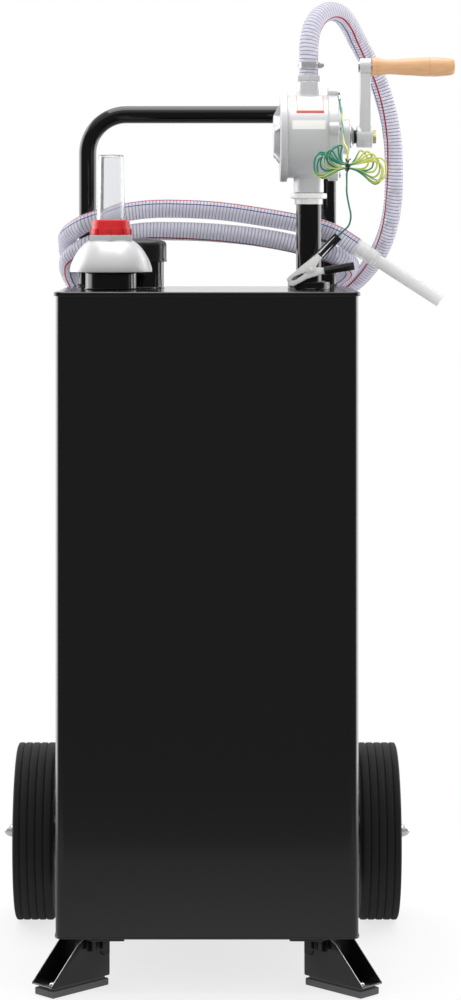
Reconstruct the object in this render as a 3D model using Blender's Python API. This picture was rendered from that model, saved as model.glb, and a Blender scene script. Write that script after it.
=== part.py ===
# Fuel caddy: a steel tank on two wheels, with a hand pump, its hose, a level gauge and a ground wire.
# Metres, +Z up, +X to the right and +Y to the back as one faces the tank. The pieces are placed from
# the middle of the tank's front face at ground level, and one empty then moves them all, so that the
# origin lies under the middle of the whole object.

from math import atan2, ceil, cos, pi, radians, sin, sqrt

import bmesh
import bpy
from mathutils import Matrix, Vector
from mathutils.geometry import interpolate_bezier

for old in list(bpy.data.objects):
    bpy.data.objects.remove(old, do_unlink=True)

# Shared clearances
GAP = 0.0003            # between two pieces that touch
OVERRUN = 0.002         # how far a cutter runs past the face that it cuts
WIDE_SIDES = 24         # sides of a large round, a middling one and a small one
MIDDLE_SIDES = 16
SMALL_SIDES = 12

# Tank: four walls of sheet steel, closed by a hemmed plate at each end
TANK_WIDTH = 0.400
TANK_DEPTH = 0.395
TANK_BOTTOM_Z = 0.071
TANK_HEIGHT = 0.852
SHEET = 0.002
CORNER_RADIUS = 0.010
HEM_THICK = 0.0022
HEM_HEIGHT = 0.0055
CORNER_STEPS = 2

# Push handle: one bent tube that stands on the top plate
HANDLE_RADIUS = 0.0125
HANDLE_WALL = 0.0015
HANDLE_LEFT_X = -0.1725
HANDLE_RIGHT_X = 0.1742
HANDLE_SETBACK = 0.030      # tank's back face to the tube's middle
HANDLE_RISE = 0.261     # top plate to the highest point of the tube
HANDLE_BEND = 0.056
HANDLE_SIDES = 12
BEND_STEPS = 4

# Level gauge
GAUGE_X = -0.132
GAUGE_Y = 0.165
GAUGE_NECK_RADIUS = 0.035
GAUGE_NECK_WALL = 0.003
GAUGE_NECK_HEIGHT = 0.024
DOME_RADIUS = 0.0565
DOME_RISE = 0.043
DOME_WALL = 0.003
DOME_RIM = 0.0025
DOME_SEAT_DROP = 0.0005
DOME_STEPS = 5
HEX_ACROSS = 0.057
HEX_HEIGHT = 0.007
NUT_RING_RADIUS = 0.0290
NUT_RING_HEIGHT = 0.009
NUT_RADIUS = 0.0255
NUT_HEIGHT = 0.021
NUT_LUGS = 8
NUT_GROOVE_SHARE = 0.90
VIAL_RADIUS = 0.0197
VIAL_TOP_RADIUS = 0.0176
VIAL_WALL = 0.002
VIAL_FLANGE_RADIUS = 0.0215
VIAL_FLANGE = 0.004
VIAL_HEIGHT = 0.110
VIAL_EDGE = 0.004
ROD_RADIUS = 0.002
ROD_HEAD_RADIUS = 0.007
ROD_HEAD_HEIGHT = 0.008
ROD_TOP_ABOVE_HEX = 0.018
STEM_WIDTH = 0.012
STEM_THICK = 0.003
STEM_CAP_RADIUS = 0.020
STEM_TAIL = 0.012
FLOAT_PIVOT_DROP = 0.420    # from the tank's top to the arm's pivot
FLOAT_PIVOT_FORWARD = 0.042
PIVOT_PIN_RADIUS = 0.0025
PIVOT_PIN_LENGTH = 0.009
ARM_RADIUS = 0.0015
ARM_HUB_RADIUS = 0.0055
ARM_HUB_WIDTH = 0.003
ARM_LENGTH = 0.170
ARM_REST_DEG = -50.0
FLOAT_RADIUS = 0.020
FLOAT_LENGTH = 0.055
LINK_SHARE = 0.30           # the rod meets the arm at this share of its length
SIDE_CLEARANCE = 0.001      # sideways play of the float's linkage

# Filler
FILLER_X = -0.0885
FILLER_Y = 0.255
FILLER_NECK_RADIUS = 0.0280
FILLER_NECK_WALL = 0.003
FILLER_NECK_HEIGHT = 0.060
CAP_SKIRT = 0.023           # how far the cap reaches down over the neck
CAP_HEIGHT = 0.031
CAP_WALL = 0.0026
CAP_FLARE = 0.0012
CAP_FLARE_HEIGHT = 0.003
CAP_EDGE = 0.005
GASKET_THICK = 0.002

# Suction pipe and the pump's lock ring
PUMP_Y = 0.200
SUCTION_X = 0.141
PIPE_RADIUS = 0.0175
PIPE_WALL = 0.0022
PIPE_TOP_Z = 1.0557
PIPE_FLOOR_GAP = 0.030      # from the strainer's foot to the tank's floor
COLLAR_RADIUS = 0.0290
COLLAR_HEIGHT = 0.010
COLLAR_LIP = 0.004
UNION_RADIUS = 0.0252
UNION_HEIGHT = 0.0075
UNION_SKIRT_RADIUS = 0.0195
UNION_SKIRT = 0.008
UNION_GROOVE_SHARE = 0.95
UNION_LUGS = 6
STRAINER_WALL = 0.0025
STRAINER_GRIP = 0.014
STRAINER_DROP = 0.018
STRAINER_SLOT = 0.007

# Pump, turned about a shaft that lies across the tank
PUMP_Z = 1.134
BODY_RADIUS = 0.0573
BODY_LEFT_X = 0.1110
BODY_RIGHT_X = 0.1665
BORE_RADIUS = 0.0460
BORE_OFFSET = 0.0045
INLET_RADIUS = 0.0208
INLET_BORE = 0.0140
OUTLET_RADIUS = 0.0166
OUTLET_BORE = 0.0095
OUTLET_RISE = 0.0765        # shaft to the top of the outlet neck
END_PLATE_RADIUS = 0.0627
END_PLATE_THICK = 0.0100
END_HUB_RADIUS = 0.0300
END_HUB_THICK = 0.0090
END_RIBS = 5
END_RIB_WIDTH = 0.006
END_RIB_REACH = 0.0427      # how far out a rib meets the plate; it slopes up to the hub
COVER_RADIUS = 0.0592
COVER_THICK = 0.0135
LUG_COUNT = 5
LUG_RADIUS = 0.0085
LUG_REACH = 0.0598
LUG_TURN_DEG = 9.0          # from straight up to the first lug, toward the front
COVER_STEP_RADIUS = 0.0420
COVER_STEP = 0.0070
BOSS_RADIUS = 0.0245
BOSS_THICK = 0.0100
GLAND_RADIUS = 0.0165
GLAND_NOSE_RADIUS = 0.0110
GLAND_CONE = 0.0059
GLAND_RING_RADIUS = 0.0095
GLAND_THICK = 0.0088
SHAFT_RADIUS = 0.0075
SHAFT_LEFT_X = 0.1125
ROTOR_RADIUS = 0.0400
ROTOR_PLAY = 0.0010
VANE_COUNT = 3
VANE_THICK = 0.0040
VANE_HEIGHT = 0.0200
VANE_SINK = 0.0010

# Hose tail and its clamp
TAIL_HEX_ACROSS = 0.0300
TAIL_HEX_HEIGHT = 0.0078
BARB_RADIUS = 0.0082
BARB_BORE = 0.0062
BARB_LENGTH = 0.024
CLAMP_RISE = 0.0100         # hex to clamp
CLAMP_WIDTH = 0.0085
CLAMP_THICK = 0.0012
CLAMP_SCREW_LENGTH = 0.012
CLAMP_SCREW_HEIGHT = 0.0075

# Crank
CRANK_HUB_LEFT_X = 0.2073
CRANK_HUB_RIGHT_X = 0.2292
CRANK_HUB_RADIUS = 0.0150
CRANK_THROW = 0.0970
ARM_LEFT_X = 0.2120
ARM_RIGHT_X = 0.2270
CRANK_EYE_RADIUS = 0.0155
CRANK_ARM_WIDTH = 0.0220
CRANK_ARM_TIP_WIDTH = 0.0190
CRANK_BOSS_RADIUS = 0.0118
ARM_END_STEPS = 7
CRANK_NUT_ACROSS = 0.0185
CRANK_NUT_THICK = 0.0048
GRIP_PIN_RADIUS = 0.0040
GRIP_PIN_LENGTH = 0.0900
GRIP_PIN_HEAD_RADIUS = 0.0075
GRIP_PIN_HEAD = 0.0020
GRIP_LENGTH = 0.1147
GRIP_STANDOFF = 0.0016
GRIP_SHARES = (0, 0.026, 0.094, 0.131, 0.19, 0.28, 0.356, 0.506, 0.655, 0.768, 0.88, 0.955, 0.985, 1)
GRIP_RADII = (0.0125, 0.0127, 0.0123, 0.0113, 0.0104, 0.0106, 0.0114, 0.0123, 0.0134, 0.0135, 0.0127, 0.0117,
              0.0100, 0.0090)
PIN_CLEARANCE = 0.0003

# Wheels
WHEEL_RADIUS = 0.127
WHEEL_WIDTH = 0.056
WHEEL_INNER_X = 0.2195
AXLE_BEHIND = 0.017         # tank's back face to the axle's middle
AXLE_RADIUS = 0.0080
TYRE_SIDES = 24
TREAD_RIBS = 5
GROOVE_WIDTH = 0.0018
GROOVE_DEPTH = 0.0022
SHOULDER = 0.0030
SHOULDER_DROP = 0.0020
RIM_RADIUS = 0.0740
RIM_WALL = 0.0045
RIM_INSET = 0.0060
DISC_THICK = 0.0070
HUB_RADIUS = 0.0210
HUB_PROUD = 0.0010
AXLE_CAP_RADIUS = 0.0092
AXLE_CAP_RISE = 0.0195
AXLE_CAP_STEPS = 4
AXLE_IN_CAP = 0.0050
SPACER_RADIUS = 0.0140
BRACKET_X = 0.170
BRACKET_PLATE = 0.0060
BRACKET_WIDTH = 0.0400
BRACKET_LOW = 0.0200
BRACKET_RISE = 0.0650

# Front feet: a bent channel under each front corner, at 45 degrees, on a rubber pad
FOOT_TURN_DEG = 45.0
FOOT_OUT = 0.0230           # how far the foot reaches past the tank's corner
FOOT_IN = 0.0800            # how far it reaches under the tank
FOOT_HALF_WIDTH = 0.0200
FOOT_SHEET = 0.0025
FOOT_SLANT_TOP = 0.0214     # how far under the tank the walls' slanted edges end, and at what height
FOOT_SLANT_Z = 0.0600
FOOT_FLANGE = 0.0500
FLANGE_SETBACK = 0.0005     # from the tank's front and side faces to the flanges, along the foot
PAD_OUT = 0.0195
PAD_HALF_WIDTH = 0.0180
PAD_THICK = 0.0090
PAD_STEP = 0.0042
PAD_STEP_INSET = 0.0035

# Discharge hose and nozzle
HOSE_RADIUS = 0.0135
HOSE_VALLEY_RADIUS = 0.0126
HOSE_BORE_RADIUS = 0.0095
HOSE_RIBS = 100
HOSE_BORE_POINTS = 71
CONNECTOR_RADIUS = 0.0118
CONNECTOR_LENGTH = 0.036
CONNECTOR_STEP = 0.006
NOZZLE_RADIUS = 0.0090
NOZZLE_WALL = 0.0014
NOZZLE_LENGTH = 0.1060

# Ground wire
WIRE_RADIUS = 0.0013
LEAD_POINTS = 15
DROP_POINTS = 13
TERMINAL_RADIUS = 0.0055
TERMINAL_HOLE = 0.0026
TERMINAL_THICK = 0.0010
TERMINAL_BARREL_LENGTH = 0.010
TERMINAL_BARREL_RADIUS = 0.0022
TERMINAL_TURN_DEG = 128.0   # the barrel points forward and down
HANK_LOOPS = 7
HANK_POINTS_PER_LOOP = 24
HANK_STEP = 0.00315
HANK_WAIST = 0.0022
HANK_LEFT_LOBES = (0.045, 0.033, 0.044, 0.030, 0.040, 0.031, 0.036)
HANK_LEFT_SWELLS = (0.65, 0.47, 0.65, 0.47, 0.60, 0.47, 0.50)
HANK_LEFT_TILTS_DEG = (3, 28, 8, 62, -4, 50, 18)
HANK_RIGHT_LOBES = (0.052, 0.047, 0.040, 0.049, 0.036, 0.044, 0.030)
HANK_RIGHT_SWELLS = (0.65, 0.60, 0.52, 0.62, 0.50, 0.55, 0.47)
HANK_RIGHT_TILTS_DEG = (-7, -14, 10, -16, 20, -2, 31)
HANK_LOBE_HEIGHT = 0.0560
HANK_X = 0.1880
HANK_FRONT_Y = 0.0590
HANK_Z = 1.0900
HANK_LEAD_IN = 0.0130

# Clip: each half is a folded channel. Sizes along it run from the pin, and heights from its middle line.
CLIP_X = 0.1430
CLIP_Y = 0.1720
CLIP_RISE = 0.0272          # tank's top to the pin; the lower jaw then rests on the pipe's collar
CLIP_TURN_DEG = 28.0        # how far the clip's length tips from the level
CLIP_WIDTH = 0.0150
CLIP_SHEET = 0.0014
JAW_LENGTH = 0.0360
JAW_SPLIT = 0.0006
JAW_TOOTH_DEPTH = 0.0050
JAW_HEIGHT = 0.0072
JAW_NOSE = 0.0060           # the tip's slope, and the web that bears the teeth
JAW_WALL = 0.0036
CROWN_HEIGHT = 0.0102
NECK_X = 0.0140             # where the levers leave the body
NECK_HEIGHT = 0.0135
LEVER_LENGTH = 0.0520
LEVER_SPREAD_DEG = 18.2
LEVER_DEPTH = 0.0068
EAR_THICK = 0.0014
EAR_RADIUS = 0.0050
CLIP_PIN_RADIUS = 0.0018
SLEEVE_START_UPPER = 0.0200
SLEEVE_START_LOWER = 0.0150
SLEEVE_WALL = 0.0016
SLEEVE_TIP = 0.0030

# Worked out from the sizes above
TANK_TOP_Z = TANK_BOTTOM_Z + TANK_HEIGHT
HALF_WIDTH = TANK_WIDTH / 2
HANDLE_Y = TANK_DEPTH - HANDLE_SETBACK
HANDLE_TOP_Z = TANK_TOP_Z + HANDLE_RISE - HANDLE_RADIUS
NECK_TOP_Z = TANK_TOP_Z + GAP + GAUGE_NECK_HEIGHT
DOME_BASE_Z = NECK_TOP_Z + GAP
DOME_TOP_Z = DOME_BASE_Z + DOME_RISE
HEX_TOP_Z = DOME_TOP_Z + HEX_HEIGHT
VIAL_BASE_Z = HEX_TOP_Z + GAP
FLOAT_PIVOT_Y = GAUGE_Y - FLOAT_PIVOT_FORWARD
FLOAT_PIVOT_Z = TANK_TOP_Z - FLOAT_PIVOT_DROP
FILLER_TOP_Z = TANK_TOP_Z + GAP + FILLER_NECK_HEIGHT
GASKET_TOP_Z = FILLER_TOP_Z + GAP + GASKET_THICK
CAP_BOTTOM_Z = FILLER_TOP_Z - CAP_SKIRT
CAP_TOP_Z = CAP_BOTTOM_Z + CAP_HEIGHT
COVER_LEFT_X = BODY_RIGHT_X + GAP
LUG_RIGHT_X = COVER_LEFT_X + COVER_THICK
STEP_RIGHT_X = LUG_RIGHT_X + COVER_STEP
BOSS_RIGHT_X = STEP_RIGHT_X + BOSS_THICK
GLAND_LEFT_X = BOSS_RIGHT_X + GAP
OUTLET_TOP_Z = PUMP_Z + OUTLET_RISE
END_RIGHT_X = BODY_LEFT_X - GAP
SHAFT_RIGHT_X = CRANK_HUB_RIGHT_X + GAP + CRANK_NUT_THICK
CRANK_PIN_Z = PUMP_Z + CRANK_THROW
GRIP_LEFT_X = ARM_RIGHT_X + GRIP_STANDOFF
GRIP_RIGHT_X = GRIP_LEFT_X + GRIP_LENGTH
AXLE_Y = TANK_DEPTH + AXLE_BEHIND
WHEEL_OUTER_X = WHEEL_INNER_X + WHEEL_WIDTH
AXLE_CAP_X = WHEEL_OUTER_X + HUB_PROUD + GAP
OBJECT_LEFT_X = -(AXLE_CAP_X + AXLE_CAP_RISE)
FOOT_ANGLE = radians(90 - FOOT_TURN_DEG)
FOOT_FRONT_Y = -FOOT_OUT * sin(FOOT_ANGLE) - FOOT_HALF_WIDTH * cos(FOOT_ANGLE)
TYRE_BACK_Y = AXLE_Y + WHEEL_RADIUS
MIDDLE_X = (OBJECT_LEFT_X + GRIP_RIGHT_X) / 2
MIDDLE_Y = (FOOT_FRONT_Y + TYRE_BACK_Y) / 2

root = bpy.data.objects.new("caddy_origin", None)
root.location = (-MIDDLE_X, -MIDDLE_Y, 0)
bpy.context.collection.objects.link(root)


# Finishes
def finish(name, colour, roughness, metallic=0.0, alpha=1.0):
    made = bpy.data.materials.new(name)
    made.use_nodes = True
    shader = made.node_tree.nodes["Principled BSDF"]
    shader.inputs["Base Color"].default_value = (*colour, 1.0)
    shader.inputs["Roughness"].default_value = roughness
    shader.inputs["Metallic"].default_value = metallic
    shader.inputs["Alpha"].default_value = alpha
    return made


BLACK_PAINT = ("black_paint", (0.014, 0.014, 0.014), 0.35)
BLACK_GLOSS = ("black_gloss", (0.010, 0.010, 0.010), 0.15)
SILVER_PAINT = ("silver_paint", (0.75, 0.75, 0.75), 0.25)
RED_PLASTIC = ("red_plastic", (0.80, 0.02, 0.03), 0.35)
CLEAR_PLASTIC = ("clear_plastic", (0.93, 0.94, 0.96), 0.05, 0.0, 0.35)
CAST_ALUMINIUM = ("cast_aluminium", (0.62, 0.62, 0.63), 0.45, 0.9)
ZINC_STEEL = ("zinc_steel", (0.60, 0.60, 0.62), 0.35, 1.0)
CHROME = ("chrome", (0.80, 0.80, 0.82), 0.10, 1.0)
BRASS = ("brass", (0.70, 0.50, 0.22), 0.30, 1.0)
BEECH = ("beech", (0.80, 0.48, 0.20), 0.50)
BLACK_RUBBER = ("black_rubber", (0.018, 0.018, 0.018), 0.80)
CLEAR_HOSE = ("clear_hose", (0.80, 0.80, 0.90), 0.20, 0.0, 0.55)
WHITE_PLASTIC = ("white_plastic", (0.88, 0.88, 0.88), 0.30, 0.0, 0.75)
WIRE_GREEN = ("wire_green", (0.10, 0.45, 0.22), 0.45)
BLACK_PLASTIC = ("black_plastic", (0.020, 0.020, 0.020), 0.45)
CORK = ("cork_rubber", (0.10, 0.06, 0.03), 0.80)
RIM_STEEL = ("rim_steel", (0.55, 0.55, 0.56), 0.40, 0.6)


# Meshes and objects
def place(name, mesh, look, centre=(0, 0, 0), turn=None):
    """Link a mesh as one piece under the shared empty, with its own material."""
    piece = bpy.data.objects.new(name, mesh)
    piece.location = centre
    if turn is not None:
        piece.rotation_euler = turn
    piece.parent = root
    bpy.context.collection.objects.link(piece)
    if look is None:
        piece.hide_render = True
        piece.display_type = "WIRE"
    else:
        mesh.materials.append(finish(name + "_" + look[0], *look[1:]))
    return piece


def mesh_from(name, body):
    bmesh.ops.recalc_face_normals(body, faces=body.faces)
    mesh = bpy.data.meshes.new(name)
    body.to_mesh(mesh)
    body.free()
    mesh.shade_smooth()
    mesh.set_sharp_from_angle(angle=radians(35))
    return mesh


AXIS_TURNS = {"Z": Matrix.Identity(3), "X": Matrix.Rotation(radians(90), 3, "Y"),
              "-X": Matrix.Rotation(radians(-90), 3, "Y")}


def flats(count):
    """Turns a circle into a regular polygon with this many flats, by distance across them."""
    half = pi / count
    return lambda angle: 1 / cos((angle + half) % (2 * half) - half)


def castle(count, share):
    """Lobes round a ring: two points stand out, the next two lie in the groove."""
    return lambda angle: share if round(angle * count * 2 / pi) % 4 in (2, 3) else 1.0


def turned(name, profile, look, centre=(0, 0, 0), axis="Z", sides=MIDDLE_SIDES, shape=None, start=0.0,
           loop=False):
    """A turned solid. Each profile point is (radius, height) or (radius, height, True) where the
    shape function bends its circle. The profile climbs the outer side; a loop comes back inside."""
    body = bmesh.new()
    turn = AXIS_TURNS[axis]
    rings = []
    for point in profile:
        radius, height = point[0], point[1]
        bends = shape if len(point) > 2 else None
        if radius == 0:
            rings.append([body.verts.new(turn @ Vector((0, 0, height)))])
            continue
        ring = []
        for number in range(sides):
            angle = start + 2 * pi * number / sides
            reach = radius * (bends(angle) if bends else 1)
            ring.append(body.verts.new(turn @ Vector((reach * cos(angle), reach * sin(angle), height))))
        rings.append(ring)
    pairs = list(zip(rings, rings[1:]))
    if loop:
        pairs.append((rings[-1], rings[0]))
    for low, high in pairs:
        for number in range(sides):
            after = (number + 1) % sides
            if len(low) == 1 and len(high) == 1:
                break
            if len(low) == 1:
                body.faces.new((low[0], high[after], high[number]))
            elif len(high) == 1:
                body.faces.new((low[number], low[after], high[0]))
            else:
                body.faces.new((low[number], low[after], high[after], high[number]))
    return place(name, mesh_from(name, body), look, centre)


def ring_profile(inner, outer, low, high):
    return [(inner, low), (outer, low), (outer, high), (inner, high)]


def rod_profile(radius, low, high):
    return [(0, low), (radius, low), (radius, high), (0, high)]


def sweep_outline(body, outline, along, low, high):
    """Extrude a flat outline, whose points are Vectors, by low and high along a direction."""
    bottom = [body.verts.new(point + along * low) for point in outline]
    top = [body.verts.new(point + along * high) for point in outline]
    body.faces.new(list(reversed(bottom)))
    body.faces.new(top)
    for number, corner in enumerate(bottom):
        after = (number + 1) % len(bottom)
        body.faces.new((corner, bottom[after], top[after], top[number]))


def slab(name, outline, look, low, high, centre=(0, 0, 0), plane="XY", turn=None):
    """A plate cut from sheet. The outline lies in the plane, and the plate runs low to high across it."""
    lift = {"XY": lambda a, b: Vector((a, b, 0)), "YZ": lambda a, b: Vector((0, a, b)),
            "XZ": lambda a, b: Vector((a, 0, b))}[plane]
    along = {"XY": Vector((0, 0, 1)), "YZ": Vector((1, 0, 0)), "XZ": Vector((0, 1, 0))}[plane]
    body = bmesh.new()
    sweep_outline(body, [lift(a, b) for a, b in outline], along, low, high)
    return place(name, mesh_from(name, body), look, centre, turn)


def block(name, low, high, look, centre=(0, 0, 0), turn=None):
    outline = [(low[0], low[1]), (high[0], low[1]), (high[0], high[1]), (low[0], high[1])]
    return slab(name, outline, look, low[2], high[2], centre, "XY", turn)


def rounded_rectangle(half_x, half_y, radius, steps):
    points = []
    for corner, (sign_x, sign_y) in enumerate(((1, 1), (-1, 1), (-1, -1), (1, -1))):
        for step in range(steps + 1):
            angle = (corner + step / steps) * pi / 2
            points.append((sign_x * (half_x - radius) + radius * cos(angle),
                           sign_y * (half_y - radius) + radius * sin(angle)))
    return points


def combine(piece, other, operation):
    """Join the other solid to this piece, or cut it away."""
    other.hide_render = True
    other.display_type = "WIRE"
    modifier = piece.modifiers.new(operation.lower(), "BOOLEAN")
    modifier.operation = operation
    modifier.object = other


def cut(piece, cutter):
    combine(piece, cutter, "DIFFERENCE")


def join(piece, other):
    combine(piece, other, "UNION")


# Curves
def smooth_route(points, spacing):
    """Points on a smooth curve through the route's own points, one Bezier piece between each two."""
    route = [Vector(point) for point in points]
    spans = [(after - before).length for before, after in zip(route, route[1:])]
    slopes = [(after - before) / span for before, after, span in zip(route, route[1:], spans)]
    tangents = [slopes[0]]
    for number in range(1, len(slopes)):
        left, right = spans[number - 1], spans[number]
        tangents.append((slopes[number - 1] * right + slopes[number] * left) / (left + right))
    tangents.append(slopes[-1])
    dense = [route[0]]
    for number, span in enumerate(spans):
        begin, end = route[number], route[number + 1]
        steps = max(3, ceil(span / spacing) + 1)
        dense += interpolate_bezier(begin, begin + tangents[number] * span / 3,
                                    end - tangents[number + 1] * span / 3, end, steps)[1:]
    return dense


def even_points(dense, count):
    """The same curve, read at evenly spaced points."""
    travelled = [0.0]
    for before, after in zip(dense, dense[1:]):
        travelled.append(travelled[-1] + (after - before).length)
    points = []
    piece = 0
    for number in range(count):
        target = travelled[-1] * number / (count - 1)
        while piece < len(dense) - 2 and travelled[piece + 1] < target:
            piece += 1
        share = (target - travelled[piece]) / (travelled[piece + 1] - travelled[piece])
        points.append(dense[piece].lerp(dense[piece + 1], min(share, 1)))
    return points


def route_length(points):
    return sum((after - before).length for before, after in zip(points, points[1:]))


def cord(name, points, radii, look, sides=8):
    """A tube along points; radii is one radius, or one for each point."""
    curve = bpy.data.curves.new(name, "CURVE")
    curve.dimensions = "3D"
    curve.bevel_resolution = (sides - 4) // 2
    curve.use_fill_caps = True
    spline = curve.splines.new("POLY")
    spline.points.add(len(points) - 1)
    widest = max(radii) if isinstance(radii, list) else radii
    curve.bevel_depth = widest
    for number, point in enumerate(points):
        spline.points[number].co = (*point, 1)
        spline.points[number].radius = radii[number] / widest if isinstance(radii, list) else 1
    drawn = bpy.data.objects.new(name + "_curve", curve)
    bpy.context.collection.objects.link(drawn)
    mesh = bpy.data.meshes.new_from_object(drawn.evaluated_get(bpy.context.evaluated_depsgraph_get()))
    bpy.data.objects.remove(drawn)
    body = bmesh.new()
    body.from_mesh(mesh)
    bmesh.ops.remove_doubles(body, verts=body.verts, dist=GAP / 100)
    return place(name, mesh_from(name, body), look)


def self_gap(points, radius, apart):
    """The least gap between stretches of one tube that are this far apart along it."""
    travelled = [0.0]
    for before, after in zip(points, points[1:]):
        travelled.append(travelled[-1] + (after - before).length)
    least = travelled[-1]
    for first, point in enumerate(points):
        for second in range(first + 1, len(points) - 1):
            if travelled[second] - travelled[first] < apart:
                continue
            begin, end = points[second], points[second + 1]
            run = end - begin
            share = max(0, min(1, (point - begin).dot(run) / run.length_squared))
            least = min(least, (begin + run * share - point).length)
    return least - 2 * radius


# Tank
def tank_walls():
    outer = rounded_rectangle(HALF_WIDTH, TANK_DEPTH / 2, CORNER_RADIUS, CORNER_STEPS)
    inner = rounded_rectangle(HALF_WIDTH - SHEET, TANK_DEPTH / 2 - SHEET, CORNER_RADIUS - SHEET, CORNER_STEPS)
    low = TANK_BOTTOM_Z + SHEET + GAP
    high = TANK_TOP_Z - SHEET - GAP
    body = bmesh.new()
    rings = [[body.verts.new((x, y, z)) for x, y in outline]
             for outline, z in ((outer, low), (outer, high), (inner, high), (inner, low))]
    for first, second in zip(rings, rings[1:] + rings[:1]):
        for number in range(len(first)):
            after = (number + 1) % len(first)
            body.faces.new((first[number], first[after], second[after], second[number]))
    return place("tank_shell", mesh_from("tank_shell", body), BLACK_PAINT, (0, TANK_DEPTH / 2, 0))


def tank_end(name, face_z, inward):
    """An end plate whose edge is folded over the walls. Inward is +1 at the bottom, -1 at the top."""
    def outline(reach, radius):
        return rounded_rectangle(HALF_WIDTH + reach, TANK_DEPTH / 2 + reach, radius, CORNER_STEPS)
    wide = outline(GAP + HEM_THICK, CORNER_RADIUS + HEM_THICK)
    edge = outline(GAP, CORNER_RADIUS)
    body = bmesh.new()
    rings = [[body.verts.new((x, y, z)) for x, y in points]
             for points, z in ((wide, face_z), (wide, face_z + inward * HEM_HEIGHT),
                               (edge, face_z + inward * HEM_HEIGHT), (edge, face_z + inward * SHEET))]
    for first, second in zip(rings, rings[1:]):
        for number in range(len(first)):
            after = (number + 1) % len(first)
            body.faces.new((first[number], first[after], second[after], second[number]))
    body.faces.new(rings[0])
    body.faces.new(rings[-1])
    return place(name, mesh_from(name, body), BLACK_PAINT, (0, TANK_DEPTH / 2, 0))


tank_walls()
tank_end("tank_base", TANK_BOTTOM_Z, 1)
tank_top = tank_end("tank_top", TANK_TOP_Z, -1)
for hole_name, hole_x, hole_y, hole_radius in (
        ("gauge_hole", GAUGE_X, GAUGE_Y, GAUGE_NECK_RADIUS - GAUGE_NECK_WALL),
        ("filler_hole", FILLER_X, FILLER_Y, FILLER_NECK_RADIUS - FILLER_NECK_WALL),
        ("suction_hole", SUCTION_X, PUMP_Y, PIPE_RADIUS + GAP)):
    hole = rod_profile(hole_radius, TANK_TOP_Z - SHEET - OVERRUN, TANK_TOP_Z + OVERRUN)
    cut(tank_top, turned(hole_name, hole, None, (hole_x, hole_y, 0), sides=WIDE_SIDES))


# Push handle
def handle_path():
    points = [Vector((HANDLE_LEFT_X, HANDLE_Y, TANK_TOP_Z + GAP))]
    for side, begin in ((HANDLE_LEFT_X, pi), (HANDLE_RIGHT_X, pi / 2)):
        centre_x = side + (HANDLE_BEND if side < 0 else -HANDLE_BEND)
        for step in range(BEND_STEPS + 1):
            angle = begin - step / BEND_STEPS * pi / 2
            points.append(Vector((centre_x + HANDLE_BEND * cos(angle), HANDLE_Y,
                                  HANDLE_TOP_Z - HANDLE_BEND + HANDLE_BEND * sin(angle))))
    points.append(Vector((HANDLE_RIGHT_X, HANDLE_Y, TANK_TOP_Z + GAP)))
    return points


def pipe_along(name, points, outer, inner, sides, look, across):
    """A hollow tube, open at both ends, along a flat path that is square to the given direction."""
    body = bmesh.new()
    rings = []
    for number, point in enumerate(points):
        ahead = (points[min(number + 1, len(points) - 1)] - point).normalized()
        behind = (point - points[max(number - 1, 0)]).normalized()
        run = (ahead + behind).normalized()
        spread = 1 / max(run.dot(ahead if number < len(points) - 1 else behind), 0.1)
        side = across.cross(run)
        rings.append([[body.verts.new(point + across * radius * cos(2 * pi * turn / sides)
                                      + side * spread * radius * sin(2 * pi * turn / sides))
                       for turn in range(sides)] for radius in (outer, inner)])
    for layer in (0, 1):
        for before, after in zip(rings, rings[1:]):
            for turn in range(sides):
                beside = (turn + 1) % sides
                body.faces.new((before[layer][turn], before[layer][beside],
                                after[layer][beside], after[layer][turn]))
    for end in (rings[0], rings[-1]):
        for turn in range(sides):
            beside = (turn + 1) % sides
            body.faces.new((end[0][turn], end[0][beside], end[1][beside], end[1][turn]))
    return place(name, mesh_from(name, body), look)


pipe_along("push_handle", handle_path(), HANDLE_RADIUS, HANDLE_RADIUS - HANDLE_WALL, HANDLE_SIDES,
           BLACK_PAINT, Vector((0, 1, 0)))


# Level gauge
turned("gauge_neck", ring_profile(GAUGE_NECK_RADIUS - GAUGE_NECK_WALL, GAUGE_NECK_RADIUS,
                                  TANK_TOP_Z + GAP, NECK_TOP_Z),
       BLACK_GLOSS, (GAUGE_X, GAUGE_Y, 0), sides=WIDE_SIDES, loop=True)


def dome_profile():
    bore = ROD_HEAD_RADIUS + GAP
    boss = GAUGE_NECK_RADIUS
    shoulder = HEX_ACROSS / 2
    rim_z = DOME_BASE_Z - DOME_SEAT_DROP
    profile = [(bore, DOME_BASE_Z), (boss, DOME_BASE_Z), (boss, DOME_BASE_Z + DOME_RISE / 2),
               (DOME_RADIUS - DOME_WALL, rim_z), (DOME_RADIUS, rim_z)]
    rim_top = DOME_BASE_Z + DOME_RIM
    for step in range(DOME_STEPS + 1):
        angle = pi / 2 * step / DOME_STEPS
        reach = shoulder + (DOME_RADIUS - shoulder) * cos(angle)
        profile.append((reach, rim_top + (DOME_TOP_Z - rim_top) * sin(angle)))
    profile += [(shoulder, DOME_TOP_Z + OVERRUN / 4, True), (shoulder, HEX_TOP_Z, True), (bore, HEX_TOP_Z)]
    return profile


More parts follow.
